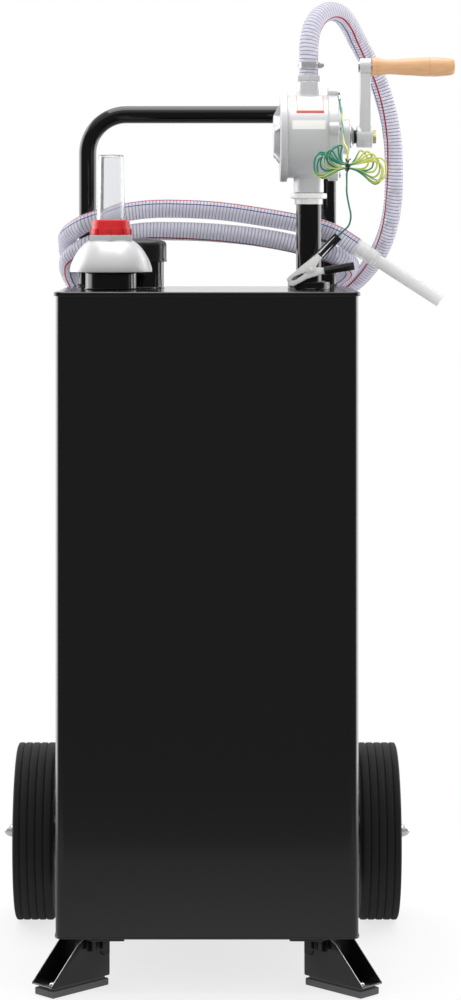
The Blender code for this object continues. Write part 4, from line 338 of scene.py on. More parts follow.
colour = add(tree, "ShaderNodeMix", {0: stripe, 6: linear("#208A76"), 7: linear("#D2D862")},
             data_type="RGBA").outputs[2]
tree.links.new(colour, shader.inputs["Base Color"])

wire_mesh = run_nodes(line_object("wire_line", wire_line), tubing, Radius=WIRE_RADIUS, Step=0.0016, Sides=12,
                      Pitch=1.0, Depth=0.0, Material=jacket)
ground_wire = dress("ground_wire", wire_mesh, "",
                    ["ground_wire_lead", "ground_wire_hank", "ground_wire_drop"])
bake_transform(ground_wire)

# Ring terminal: a stamped and tinned copper lug that is crimped on the wire, under the pump's top screw.
AXIS_TURNS = {"Z": Matrix.Identity(4), "X": Matrix.Rotation(radians(90), 4, "Y"),
              "-X": Matrix.Rotation(radians(-90), 4, "Y"), "-Y": Matrix.Rotation(radians(90), 4, "X")}


def frame_at(centre, axis="Z"):
    """The matrix that sets a shape drawn about the Z axis on another centre and axis."""
    turn = AXIS_TURNS[axis] if isinstance(axis, str) else axis.to_track_quat("Z", "Y").to_matrix().to_4x4()
    return Matrix.Translation(centre) @ turn


def soften(points, radius, loop=True, steps=3):
    """The outline with each corner that is off the axis rounded by a small curve."""
    rounded = []
    for number, corner in enumerate(points):
        here = Vector(corner[:2])
        if here.x == 0 or (not loop and number in (0, len(points) - 1)):
            rounded.append(tuple(here))
            continue
        back = Vector(points[number - 1][:2]) - here
        ahead = Vector(points[(number + 1) % len(points)][:2]) - here
        reach = min(corner[2] if len(corner) > 2 else radius, back.length * 0.45, ahead.length * 0.45)
        if reach < 0.00002:
            rounded.append(tuple(here))
            continue
        begin, end = here + back.normalized() * reach, here + ahead.normalized() * reach
        for step in range(steps + 1):
            share = step / steps
            rounded.append(tuple(begin.lerp(here, share).lerp(here.lerp(end, share), share)))
    return rounded


def lathe(body, profile, centre=(0, 0, 0), axis="Z", sides=48, bend=None):
    """Turn a closed profile of (radius, height) points. Bend gives a share of the radius from the angle,
    the radius and the height."""
    seat = frame_at(centre, axis)
    rings = []
    for radius, height in profile:
        if radius == 0:
            rings.append([body.verts.new(seat @ Vector((0, 0, height)))])
            continue
        ring = []
        for side in range(sides):
            angle = tau * side / sides
            reach = radius * (bend(angle, radius, height) if bend else 1)
            ring.append(body.verts.new(seat @ Vector((reach * cos(angle), reach * sin(angle), height))))
        rings.append(ring)
    for low, high in zip(rings, rings[1:] + rings[:1]):
        if len(low) == 1 and len(high) == 1:
            continue
        for side in range(sides):
            after = (side + 1) % sides
            corners = [low[side % len(low)], low[after % len(low)], high[after % len(high)], high[side % len(high)]]
            body.faces.new(list(dict.fromkeys(corners)))


def solid(name, body, material, owner, stands_for=(), sharp=35):
    """A finished piece from a bmesh, with its faces outwards, its edges set sharp and one material."""
    bmesh.ops.remove_doubles(body, verts=body.verts, dist=0.000002)
    bmesh.ops.recalc_face_normals(body, faces=body.faces)
    mesh = bpy.data.meshes.new(name)
    body.to_mesh(mesh)
    body.free()
    mesh.shade_smooth()
    mesh.set_sharp_from_angle(angle=radians(sharp))
    mesh.materials.append(material)
    return dress(name, mesh, owner, stands_for)


def rod(radius, low, high, edge=0.0004):
    return soften([(0, low), (radius, low), (radius, high), (0, high)], edge)


def collar(inner, outer, low, high, edge=0.0004):
    return soften([(inner, low), (outer, low), (outer, high), (inner, high)], edge)


def grain(tree, shader, size, height, roughness=0.0, kind="Noise", detail=3.0, stretch=(1, 1, 1)):
    """Surface relief of one size in metres, which also varies the roughness by a little."""
    place = add(tree, "ShaderNodeTexCoord").outputs["Object"]
    place = add(tree, "ShaderNodeMapping", {"Vector": place, "Scale": stretch}).outputs[0]
    if kind == "Noise":
        relief = add(tree, "ShaderNodeTexNoise", {"Vector": place, "Scale": 1 / size, "Detail": detail}).outputs[0]
    else:
        relief = add(tree, "ShaderNodeTexVoronoi", {"Vector": place, "Scale": 1 / size}).outputs[0]
    bump = add(tree, "ShaderNodeBump", {"Height": relief, "Strength": 1.0, "Distance": height}).outputs[0]
    tree.links.new(bump, shader.inputs["Normal"])
    if roughness:
        base = shader.inputs["Roughness"].default_value
        rough = add(tree, "ShaderNodeMapRange", {0: relief, 1: 0.3, 2: 0.7, 3: base - roughness,
                                                 4: base + roughness}).outputs[0]
        tree.links.new(rough, shader.inputs["Roughness"])
    return relief


# Bright chrome and tin: a mirror with faint polishing haze.
chrome, tree, shader = surface("bright_chrome_plate", "#E4E4E6", 0.12, Metallic=0.65)
grain(tree, shader, 0.004, 0.00001, 0.04)

body = bmesh.new()
lathe(body, collar(0.0026, 0.0055, 0.1806, 0.1816, 0.0002), (0, TERMINAL.y, TERMINAL.z), "X", 32)
lathe(body, soften([(0, 0.0), (0.0018, 0.0), (0.0023, 0.0022), (0.0019, 0.0045), (0.0023, 0.0068),
                    (0.0021, 0.0102), (0, 0.0102)], 0.0008), TERMINAL + TERMINAL_WAY * 0.0044,
      TERMINAL_WAY, 20)
terminal = solid("ring_lug", body, chrome, "caddy", ["ring_terminal"])

# Twist tie: a black plastic-coated wire, wound twice round the hank's waist, with its two ends twisted up.
tie_black, tree, shader = surface("black_tie_polyethylene", "#1B1B1D", 0.42)
grain(tree, shader, 0.0008, 0.00004)


def tube_along(body, points, radius, sides=12):
    """A round bar with flat ends along points, for wires and bent rods."""
    line = [Vector(point) for point in points]
    normal = (line[1] - line[0]).orthogonal().normalized()
    rings = []
    for number, point in enumerate(line):
        run = (line[min(number + 1, len(line) - 1)] - line[max(number - 1, 0)]).normalized()
        normal = (normal - run * normal.dot(run)).normalized()
        side = run.cross(normal)
        width = radius[number] if isinstance(radius, list) else radius
        rings.append([body.verts.new(point + (normal * cos(tau * turn / sides) + side * sin(tau * turn / sides))
                                     * width) for turn in range(sides)])
    for low, high in zip(rings, rings[1:]):
        for turn in range(sides):
            after = (turn + 1) % sides
            body.faces.new((low[turn], low[after], high[after], high[turn]))
    body.faces.new(list(reversed(rings[0])))
    body.faces.new(rings[-1])


WAIST = Vector((0.1880, 0.0716, 1.0900))
body = bmesh.new()
for shift in (-0.0011, 0.0011):
    ring = [WAIST + Vector((shift + 0.0006 * sin(2 * turn), 0.0150 * cos(turn), 0.0056 * sin(turn)))
            for turn in [tau * step / 40 for step in range(41)]]
    tube_along(body, ring, 0.0009, 10)
for lean in (-1, 1):
    tube_along(body, [WAIST + Vector((lean * share * 0.0035 + 0.0006 * sin(9 * share), -0.0140 - 0.0025 * share,
                                      0.0050 + 0.0050 * share)) for share in [step / 8 for step in range(9)]],
               0.0007, 10)
tie = solid("hank_tie", body, tie_black, "caddy")

# Spring clip: two halves folded from nickel-plated sheet on one pin, whose jaws meet at the tip, with a black
# vinyl sleeve on each lever. It lies against the suction pipe's collar, and the wire enters the upper sleeve.
nickel, tree, shader = surface("satin_nickel_plate", "#FDFDFC", 0.28, Metallic=0.05)
grain(tree, shader, 0.002, 0.00002, 0.08)
vinyl, tree, shader = surface("black_vinyl_sleeve", "#161616", 0.26, Coat_Weight=0.3, Coat_Roughness=0.12)
grain(tree, shader, 0.0012, 0.00003, 0.06)
CLIP_PIVOT = Vector((0.1430, 0.1720, 0.9502))
CLIP_SEAT = Matrix.Translation(CLIP_PIVOT) @ Matrix.Rotation(radians(-208), 4, "Y")


def rounded_rectangle(half_x, half_y, radius, steps=6):
    points = []
    for corner, (sign_x, sign_y) in enumerate(((1, 1), (-1, 1), (-1, -1), (1, -1))):
        for step in range(steps + 1):
            angle = (corner + step / steps) * pi / 2
            points.append((sign_x * (half_x - radius) + radius * cos(angle),
                           sign_y * (half_y - radius) + radius * sin(angle)))
    return points


def absorb(body, part):
    """Add a finished part to a piece."""
    mesh = bpy.data.meshes.new("part")
    part.to_mesh(mesh)
    part.free()
    body.from_mesh(mesh)
    bpy.data.meshes.remove(mesh)


def plate(body, outline, low, high, seat=Matrix.Identity(4), edge=0.0003, plane="XZ"):
    """A flat sheet piece between two levels across its plane, with its sharp edges eased."""
    lift = {"XZ": lambda a, b, c: Vector((a, c, b)), "XY": lambda a, b, c: Vector((a, b, c)),
            "YZ": lambda a, b, c: Vector((c, a, b))}[plane]
    part = bmesh.new()
    rings = [[part.verts.new(seat @ lift(a, b, level)) for a, b in outline] for level in (low, high)]
    part.faces.new(rings[0])
    part.faces.new(list(reversed(rings[1])))
    for number in range(len(outline)):
        after = (number + 1) % len(outline)
        part.faces.new((rings[0][number], rings[0][after], rings[1][after], rings[1][number]))
    bmesh.ops.recalc_face_normals(part, faces=part.faces)
    if edge:
        sharp = [line for line in part.edges if line.calc_face_angle(0) > radians(28)]
        bmesh.ops.bevel(part, geom=sharp, offset=edge, segments=2, profile=0.5, affect="EDGES",
                        clamp_overlap=True)
    absorb(body, part)


def box(body, low, high, seat=Matrix.Identity(4), edge=0.0005):
    plate(body, [(low[0], low[1]), (high[0], low[1]), (high[0], high[1]), (low[0], high[1])], low[2], high[2],
          seat, edge, "XY")


CLIP_OUTLINES = {1: [(0.0362, 0.0020), (0.0350, 0.0046), (0.0310, 0.0060), (0.0265, 0.0068), (0.0054, 0.0110),
                     (-0.0157, 0.0152), (-0.0500, 0.0253)],
                 -1: [(0.0364, 0.0022), (0.0356, 0.0060), (0.0325, 0.0083), (0.0280, 0.0088), (0.0104, 0.0084),
                      (-0.0130, 0.0132), (-0.0500, 0.0253)]}


def clip_half(way, half_width):
    """One half, folded from sheet: a strip that runs from jaw to lever, with a wall down each side."""
    body = bmesh.new()
    outer = soften(CLIP_OUTLINES[way], 0.003, loop=False)
    strip = outer + [(x, z - 0.0011) for x, z in reversed(outer)]
    plate(body, [(x, -way * z) for x, z in strip], -half_width, half_width, CLIP_SEAT)
    wall = [(x, z - 0.0003) for x, z in outer]
    wall += [(-0.0500, 0.0186), (-0.0150, 0.0050), (-0.0060, -0.0010), (-0.0045, -0.0036), (0.0, -0.0048),
             (0.0045, -0.0036), (0.0070, 0.0003), (0.0110, 0.0003), (0.0140, 0.0014), (0.0240, 0.0026),
             (0.0285, 0.0020), (0.0305, 0.0003), (0.0358, 0.0003)]
    for face in (-1, 1):
        low, high = sorted((face * half_width, face * (half_width - 0.0011)))
        plate(body, [(x, -way * z) for x, z in wall], low, high, CLIP_SEAT)
    for tooth in range(5):
        spot = 0.0150 + 0.0030 * tooth
        ridge = [(spot, -way * 0.0040), (spot + 0.0024, -way * 0.0040), (spot + 0.0012, -way * 0.0006)]
        plate(body, ridge, 0.0012 - half_width, 0.0026 - half_width, CLIP_SEAT, 0)
    return body


def clip_jaw_shade_pad(way, half_width):
    """A black pad inside one jaw: painted shade, a dark sheet that stands for the shade inside the jaw."""
    body = bmesh.new()
    plate(body, [(0.0110, -way * 0.0002), (0.0310, -way * 0.0002), (0.0300, -way * 0.0050), (0.0130, -way * 0.0050)],
          0.0028 - half_width, half_width - 0.0014, CLIP_SEAT, 0.0002)
    return body


def sleeve(way, start, length, deep):
    """A sleeve over the lever: six soft sides, a rolled rim at its mouth, and an open end."""
    spread = radians(18.2)
    run = Vector((-cos(spread), 0, -way * sin(spread)))
    root = Vector((-start, 0, -way * (0.00515 + start * 0.32878)))
    turn = Matrix((Vector((0, 1, 0)), run.cross(Vector((0, 1, 0))), run)).transposed().to_4x4()
    seat = CLIP_SEAT @ Matrix.Translation(root) @ turn
    body = bmesh.new()
    rings = []
    for height, shrink in ((0, 0.0007), (0.0004, 0.0001), (0.0016, 0), (0.0024, 0.0005), (0.0036, 0.0005),
                           (length - 0.0004, 0.0002), (length, 0.0006), (length, 0.0018), (length - 0.0050, 0.0020)):
        side, edge = 0.0062 - shrink, deep - shrink
        outline = soften([(0.0092 - shrink, 0), (side, edge), (-side, edge), (shrink - 0.0092, 0), (-side, -edge),
                          (side, -edge)], 0.0009)
        rings.append([body.verts.new(seat @ Vector((a, b, height))) for a, b in outline])
    for low, high in zip(rings, rings[1:]):
        for number in range(len(low)):
            after = (number + 1) % len(low)
            body.faces.new((low[number], low[after], high[after], high[number]))
    body.faces.new(rings[0])
    body.faces.new(rings[-1])
    return body


clip_pieces = []
for half, way, half_width, owner, reach in (("upper", 1, 0.0075, "clip_upper", (0.0195, 0.0372, 0.0066)),
                                            ("lower", -1, 0.0060, "caddy", (0.0150, 0.0420, 0.0058))):
    clip_pieces += [solid("clip_half_" + half, clip_half(way, half_width), nickel, owner,
                          ["clip_jaw_" + half]),
                    # the black pad in each jaw is painted shade, a dark sheet where the jaw's inside lies in shade
                    solid("clip_liner_" + half, clip_jaw_shade_pad(way, half_width), vinyl, owner),
                    solid("clip_grip_" + half, sleeve(way, *reach), vinyl, owner,
                          ["clip_sleeve_" + half])]
body = bmesh.new()
lathe(body, soften([(0, -0.0093), (0.0026, -0.0093), (0.0026, -0.0079), (0.0018, -0.0079), (0.0018, 0.0079),
                    (0.0026, 0.0079), (0.0026, 0.0093), (0, 0.0093)], 0.0004), CLIP_PIVOT, "-Y", 24)
coil = [CLIP_PIVOT + Vector((0.0031 * cos(turn), -0.0042 + 0.0084 * turn / (5 * tau), 0.0031 * sin(turn)))
        for turn in [5 * tau * step / 100 for step in range(101)]]
tube_along(body, coil, 0.0007, 10)
clip_pieces.append(solid("clip_pivot", body, nickel, "caddy", ["clip_pin"]))

# Nozzle: a stepped connector of clear plastic that is pushed into the hose's end, and a straight pouring
# tube of translucent polyethylene in front of it.
NOZZLE_RUN = (hose_line[-1] - hose_line[-3]).normalized()
pale, tree, shader = surface("translucent_polyethylene", "#FAFAFA", 0.24, IOR=1.14, Transmission_Weight=0.55)
grain(tree, shader, 0.003, 0.00002, 0.03)
body = bmesh.new()
lathe(body, soften([(0.0070, 0), (0.0133, 0), (0.0135, 0.0018), (0.0118, 0.0030), (0.0118, 0.0150), (0.0111, 0.0155),
                    (0.0111, 0.0240), (0.0118, 0.0246), (0.0118, 0.0300), (0.0108, 0.0306), (0.0108, 0.0350),
                    (0.0070, 0.0360)], 0.0008), hose_line[-1] + NOZZLE_RUN * 0.0003, NOZZLE_RUN, 48)
nozzle_socket = solid("nozzle_socket", body, pale, "caddy", ["nozzle_connector"])
body = bmesh.new()
lathe(body, soften([(0.0076, 0), (0.0090, 0), (0.0090, 0.1060), (0.0076, 0.1060)], 0.0005),
      hose_line[-1] + NOZZLE_RUN * 0.0366, NOZZLE_RUN, 48)
pouring_tube = solid("pouring_tube", body, pale, "caddy", ["nozzle_tube"])

# Tank: four walls of 2 mm sheet steel, folded round and welded up the back, with a hemmed plate rolled over
# each end. It is powder coated in semi-gloss black, which leaves a fine orange peel.
TANK_LOW, TANK_TOP, TANK_MIDDLE = 0.071, 0.923, Vector((0, 0.1975, 0))
powder, tree, shader = surface("black_powder_coat", "#0C0C0C", 0.22, Coat_Weight=0.7, Coat_Roughness=0.10)
grain(tree, shader, 0.0016, 0.000015, 0.03)
lid_paint, tree, shader = surface("black_plate_enamel", "#101010", 0.12)
grain(tree, shader, 0.004, 0.000006, 0.02, stretch=(0.2, 1, 1))
gloss, tree, shader = surface("black_gloss_enamel", "#0B0B0B", 0.10, Coat_Weight=0.3, Coat_Roughness=0.05)
grain(tree, shader, 0.006, 0.000012, 0.02)


def wrapped(body, levels, caps=False):
    """Walls round the tank: each level is how far out it lies from the sheet and its height."""
    rings = [[body.verts.new(TANK_MIDDLE + Vector((x, y, height))) for x, y in
              rounded_rectangle(0.2 + reach, 0.1975 + reach, 0.013 + reach)] for reach, height in levels]
    for low, high in zip(rings, rings[1:] + ([] if caps else rings[:1])):
        for number in range(len(low)):
            after = (number + 1) % len(low)
            body.faces.new((low[number], low[after], high[after], high[number]))
    if caps:
        body.faces.new(rings[0])
        body.faces.new(rings[-1])


body = bmesh.new()
wrapped(body, [(0, TANK_LOW + 0.0023), (0, TANK_TOP - 0.0023), (-0.002, TANK_TOP - 0.0023),
               (-0.002, TANK_LOW + 0.0023)])
walls = solid("tank_walls", body, powder, "caddy", ["tank_shell"])
body = bmesh.new()
seam = [Vector((0.0006 * sin(step * 2.1), 0.3953 + 0.0004 * sin(step * 1.7), 0.0800 + 0.0042 * step))
        for step in range(199)]
tube_along(body, seam, [0.0021 + 0.0004 * sin(step * pi / 2) for step in range(199)], 10)
weld = solid("back_seam_weld", body, powder, "caddy")

HEM = [(-0.010, 0.0020), (0.0003, 0.0020), (0.0003, 0.0050), (0.0009, 0.0055), (0.0019, 0.0055), (0.0025, 0.0048),
       (0.0026, 0.0030), (0.0024, 0.0012), (0.0016, 0.0003), (0.0004, 0.0), (-0.010, 0.0)]
for name, face, inward, stand, paint in (("base", TANK_LOW, 1, 0.45, powder), ("top", TANK_TOP, -1, 1, lid_paint)):
    body = bmesh.new()
    wrapped(body, [(reach * (stand if reach > 0.0003 else 1), face + inward * height * stand) for reach, height in HEM],
            True)
    plated = solid("tank_plate_" + name, body, paint, "caddy", ["tank_" + name])
    if name == "top":
        for x, y, radius in ((-0.132, 0.165, 0.0318), (-0.0885, 0.255, 0.0248), (0.141, 0.200, 0.0176)):
            drill = bmesh.new()
            lathe(drill, rod(radius, TANK_TOP - 0.004, TANK_TOP + 0.002, 0), Vector((x, y, 0)) + FRONT, sides=48)
            cutter = bpy.data.objects.new("drill", bpy.data.meshes.new("drill"))
            bmesh.ops.recalc_face_normals(drill, faces=drill.faces)
            drill.to_mesh(cutter.data)
            bpy.context.collection.objects.link(cutter)
            hole = plated.modifiers.new("hole", "BOOLEAN")
            hole.operation, hole.object = "DIFFERENCE", cutter
            bpy.context.view_layer.update()
            cut_mesh = bpy.data.meshes.new_from_object(
                plated.evaluated_get(bpy.context.evaluated_depsgraph_get()))
            plated.modifiers.clear()
            plated.data = cut_mesh
            bpy.data.objects.remove(cutter)
        plated.data.shade_smooth()
        plated.data.set_sharp_from_angle(angle=radians(35))

# Push handle: one 25 mm steel tube, bent twice and welded to the top plate. A bead runs round each foot.
body = bmesh.new()
legs = [Vector((-0.1725, 0.365, 0.9233)), Vector((-0.1725, 0.365, 0.9400))]
for side, begin in ((-1, pi), (1, pi / 2)):
    centre = Vector((-0.1165 if side < 0 else 0.1182, 0.365, 1.1155))
    legs += [centre + Vector((0.056 * cos(begin - step / 16 * pi / 2), 0, 0.056 * sin(begin - step / 16 * pi / 2)))
             for step in range(17)]
legs += [Vector((0.1742, 0.365, 0.9400)), Vector((0.1742, 0.365, 0.9233))]
tube_along(body, legs, 0.0125, 40)
for x in (-0.1725, 0.1742):
    bead = [(0.0120, 0.9233), (0.0162, 0.9233), (0.0158, 0.9246), (0.0142, 0.9258), (0.0124, 0.9272)]
    lathe(body, bead, (x, 0.365, 0), sides=96,
          bend=lambda angle, radius, height: 1 + (0.012 * sin(angle * 24) if radius > 0.0121 else 0))
handle = solid("handle_tube", body, gloss, "caddy", ["push_handle"])

# Level gauge: a black neck, a silver dome that screws on it by a hex, and a red nut that holds a clear vial
# over the float's red rod.
GAUGE = (-0.132, 0.165, 0)


def hexagon(across_from):
    """Bends every circle wider than this into a hexagon by its flats."""
    def bend(angle, radius, height):
        return 1 / cos((angle + pi / 6) % (pi / 3) - pi / 6) if radius > across_from else 1
    return bend


body = bmesh.new()
lathe(body, soften([(0.0320, 0.9233), (0.0372, 0.9233), (0.0350, 0.9250), (0.0350, 0.9473), (0.0320, 0.9473)], 0.0006),
      GAUGE, sides=72)
neck = solid("gauge_spigot", body, gloss, "caddy", ["gauge_neck"])
silver, tree, shader = surface("silver_grey_enamel", "#D8D8D9", 0.34, Metallic=0.35)
grain(tree, shader, 0.020, 0.00002, 0.02)
body = bmesh.new()
dome = [(0.0073, 0.9476), (0.0350, 0.9476), (0.0350, 0.9560), (0.0535, 0.9471), (0.0558, 0.9471), (0.0565, 0.9477),
        (0.0565, 0.9501)]
dome += [(0.0285 + 0.0280 * cos(pi / 2 * step / 18) ** 1.38, 0.9501 + 0.0405 * sin(pi / 2 * step / 18) ** 1.38)
         for step in range(19)]
lathe(body, dome + [(0.0073, 0.9906)], GAUGE, sides=96)
lathe(body, soften([(0.0073, 0.9880), (0.0285, 0.9880), (0.0285, 0.9976), (0.0073, 0.9976)], 0.0006), GAUGE, sides=72,
      bend=hexagon(0.020))
cover = solid("gauge_cover", body, silver, "caddy", ["gauge_dome"])

red, tree, shader = surface("red_abs_moulding", "#D81F26", 0.28, Subsurface_Weight=0.05)
grain(tree, shader, 0.0015, 0.00002, 0.03)


def repeat_tree():
    """Geometry nodes for copies of one part, each moved and turned on from the last."""
    tree = bpy.data.node_groups.new("repeated_part", "GeometryNodeTree")
    tree.interface.new_socket("Geometry", in_out="OUTPUT", socket_type="NodeSocketGeometry")
    tree.interface.new_socket("Geometry", in_out="INPUT", socket_type="NodeSocketGeometry")
    for name, kind in (("Count", "Int"), ("Step", "Vector"), ("Turn", "Vector"), ("Centre", "Vector"),
                       ("Material", "Material")):
        tree.interface.new_socket(name, in_out="INPUT", socket_type="NodeSocket" + kind)
    given = add(tree, "NodeGroupInput").outputs
    number = add(tree, "GeometryNodeInputIndex").outputs[0]
    place = add(tree, "ShaderNodeVectorMath", {0: given["Step"], "Scale": number}, operation="SCALE").outputs[0]
    turn = add(tree, "ShaderNodeVectorMath", {0: given["Turn"], "Scale": number}, operation="SCALE").outputs[0]
    turn = add(tree, "FunctionNodeEulerToRotation", {0: turn}).outputs[0]
    spots = add(tree, "GeometryNodePoints", {"Count": given["Count"], "Position": place}).outputs[0]
    copies = add(tree, "GeometryNodeInstanceOnPoints", {"Points": spots, "Instance": given["Geometry"],
                                                        "Rotation": turn}).outputs[0]
    whole = add(tree, "GeometryNodeRealizeInstances", {0: copies}).outputs[0]
    moved = add(tree, "GeometryNodeTransform", {"Geometry": whole, "Translation": given["Centre"]}).outputs[0]
    look = add(tree, "GeometryNodeSetMaterial", {"Geometry": moved, "Material": given["Material"]}).outputs[0]
    add(tree, "NodeGroupOutput", {0: look})
    return tree


repeated = repeat_tree()


def copies(body, part, count, centre, turn=(0, 0, 0), step=(0, 0, 0), material=None):
    """Add copies of one part, drawn about the origin, to a piece."""
    bmesh.ops.recalc_face_normals(part, faces=part.faces)
    mesh = bpy.data.meshes.new("part")
    part.to_mesh(mesh)
    part.free()
    made = run_nodes(bpy.data.objects.new("part", mesh), repeated, Count=count, Centre=centre, Turn=turn, Step=step,
                     Material=material)
    body.from_mesh(made)
    bpy.data.meshes.remove(made)


VIAL_LOW, VIAL_TOP = 0.9979, 1.1079
body = bmesh.new()
lathe(body, soften([(0.0218, VIAL_LOW), (0.0266, VIAL_LOW), (0.0266, VIAL_LOW + 0.0085), (0.0262, VIAL_LOW + 0.0098),
                    (0.0256, VIAL_LOW + 0.0208, 0.0030), (0.0200, VIAL_LOW + 0.0210), (0.0200, VIAL_LOW + 0.0043),
                    (0.0218, VIAL_LOW + 0.0043)], 0.0007), GAUGE, sides=96)
lug = bmesh.new()
plate(lug, [(0.0255 * cos(a), 0.0255 * sin(a)) for a in (0.25, 0.08, -0.08, -0.25)]
      + [(0.0289 * cos(a), 0.0289 * sin(a)) for a in (-0.235, -0.08, 0.08, 0.235)], 0.0002, 0.0088, edge=0.0005,
      plane="XY")
copies(body, lug, 10, (GAUGE[0], GAUGE[1], VIAL_LOW), turn=(0, 0, tau / 10), material=red)
nut = solid("gauge_lock_nut", body, red, "caddy", ["gauge_nut"])

clear, tree, shader = surface("clear_styrene_vial", "#F7F8FA", 0.04, IOR=1.35, Transmission_Weight=0.93)
grain(tree, shader, 0.004, 0.00001)
body = bmesh.new()
lathe(body, soften([(0.0177, VIAL_LOW), (0.0215, VIAL_LOW), (0.0215, VIAL_LOW + 0.0040), (0.0197, VIAL_LOW + 0.0040),
                    (0.0176, VIAL_TOP, 0.0030), (0, VIAL_TOP), (0, VIAL_TOP - 0.002), (0.0156, VIAL_TOP - 0.002, 0.002)],
                   0.0006, steps=6), GAUGE, sides=72)
vial = solid("sight_vial", body, clear, "caddy", ["gauge_vial"])
body = bmesh.new()
lathe(body, soften([(0, 0.4640), (0.0020, 0.4640), (0.0020, 1.0076), (0.0070, 1.0082), (0.0070, 1.0150), (0, 1.0156)],
                   0.0007), GAUGE, sides=32)
rod_piece = solid("level_rod", body, red, "indicator", ["gauge_rod"])

# Filler: a black neck and a screw cap of black nylon on a cork rubber gasket. The cap flares at its rim.
FILLER = (-0.0885, 0.255, 0)
body = bmesh.new()
lathe(body, soften([(0.0250, 0.9233), (0.0300, 0.9233), (0.0280, 0.9248), (0.0280, 0.9833), (0.0250, 0.9833)], 0.0006),
      FILLER, sides=64)
thread = [Vector(FILLER) + Vector((0.0277 * cos(turn), 0.0277 * sin(turn), 0.9620 + 0.0030 * turn / tau))
          for turn in [5 * tau * step / 200 for step in range(201)]]
tube_along(body, thread, 0.0007, 8)
filler = solid("filler_spigot", body, gloss, "caddy", ["filler_neck"])
nylon, tree, shader = surface("black_nylon_moulding", "#181818", 0.24)
grain(tree, shader, 0.0012, 0.00003, 0.05)
body = bmesh.new()
lathe(body, soften([(0.0289, 0.9603), (0.0325, 0.9603), (0.0317, 0.9640), (0.0314, 0.9660), (0.0314, 0.9882, 0.0050),
                    (0.0220, 0.9912, 0.004), (0.0120, 0.9932, 0.004), (0, 0.9940), (0, 0.9859), (0.0289, 0.9859)], 0.0006,
                   steps=6), FILLER, sides=96,
      bend=lambda angle, radius, height: 1 + 0.006 * (cos(angle * 48) if radius > 0.0305 and 0.966 < height < 0.986 else 0))
cap = solid("screw_cap", body, nylon, "cap", ["filler_cap"])
body = bmesh.new()
lathe(body, collar(0.0251, 0.0313, 0.9836, 0.9856, 0.0005), FILLER, sides=64)
cork, tree, shader = surface("cork_rubber_sheet", "#4A3526", 0.85)
grain(tree, shader, 0.0009, 0.00015, 0.1, kind="Voronoi")
gasket = solid("cap_seal_ring", body, cork, "cap_seal", ["filler_gasket"])

# Suction: a black enamelled pipe that goes down into the tank through a collar. A chromed lock ring with lugs
# along its edge holds the pump on it.
SUCTION = (0.141, 0.200, 0)
body = bmesh.new()
lathe(body, collar(0.0153, 0.0175, 0.1210, 1.0557, 0.0005), SUCTION, sides=72)
pipe = solid("draw_pipe", body, gloss, "caddy", ["suction_pipe"])
body = bmesh.new()
lathe(body, soften([(0.0178, 0.9233), (0.0300, 0.9233), (0.0290, 0.9245), (0.0290, 0.9330, 0.0015), (0.0250, 0.9330),
                    (0.0215, 0.9345), (0.0178, 0.9345)], 0.0006), SUCTION, sides=72)
bung = solid("pipe_bung", body, gloss, "caddy", ["suction_collar"])
body = bmesh.new()
lathe(body, soften([(0.0178, 1.0404), (0.0186, 1.0404), (0.0186, 1.0482), (0.0243, 1.0482), (0.0252, 1.0492),
                    (0.0252, 1.0546), (0.0243, 1.0556), (0.0178, 1.0556)], 0.0007), SUCTION, sides=96)
lug = bmesh.new()
plate(lug, [(0.0182, -0.0036), (0.0195, -0.0036), (0.0195, 0.0036), (0.0182, 0.0036)], 0, 0.0080, edge=0.0005,
      plane="XY")
copies(body, lug, 8, (0.141, 0.200, 1.0403), turn=(0, 0, tau / 8), material=nickel)
union = solid("lock_ring", body, nickel, "caddy", ["suction_union"])

# Pump: a rotary vane pump of sand-cast aluminium, tumbled to a bright satin. The body has its inlet neck
# below and its outlet neck above, a ribbed plate closes its left end, and five lugs hold the cover on its
# right end, where the crank's shaft comes out of a boss.
AXIS = Vector((0, 0.200, 1.134))
cast, tree, shader = surface("cast_aluminium", "#DCDCDE", 0.34, Metallic=0.3)
grain(tree, shader, 0.0009, 0.00004, 0.08)
turned, tree, shader = surface("turned_aluminium", "#CFCFD1", 0.25, Metallic=0.85)
grain(tree, shader, 0.0012, 0.00002, 0.06, stretch=(12, 1, 1))


def round_pump(radius, turn):
    """A point of the pump's cross-section; the turn counts from the top towards the front."""
    return AXIS + Vector((0, -sin(turn) * radius, cos(turn) * radius))


body = bmesh.new()
lathe(body, soften([(0.0460, 0.1110), (0.0573, 0.1110), (0.0573, 0.1665), (0.0460, 0.1665)], 0.0012), AXIS, "X", 128)
for low, high in ((0.1108, 0.1128), (0.1648, 0.1667)):
    lathe(body, collar(0.0450, 0.0578, low, high, 0.0005), AXIS, "X", 128)
lathe(body, soften([(0.0150, 1.0560), (0.0200, 1.0560), (0.0208, 1.0572), (0.0208, 1.0745), (0.0222, 1.0775),
                    (0.0250, 1.0830), (0.0150, 1.0830)], 0.0012), SUCTION, sides=96)
lathe(body, soften([(0.0110, 1.1850), (0.0195, 1.1850), (0.0172, 1.1905), (0.0166, 1.1935), (0.0166, 1.2096), (0.0158, 1.2105),
                    (0.0110, 1.2105)], 0.0008), SUCTION, sides=96)
casing = solid("pump_casing", body, cast, "caddy", ["pump_body"])

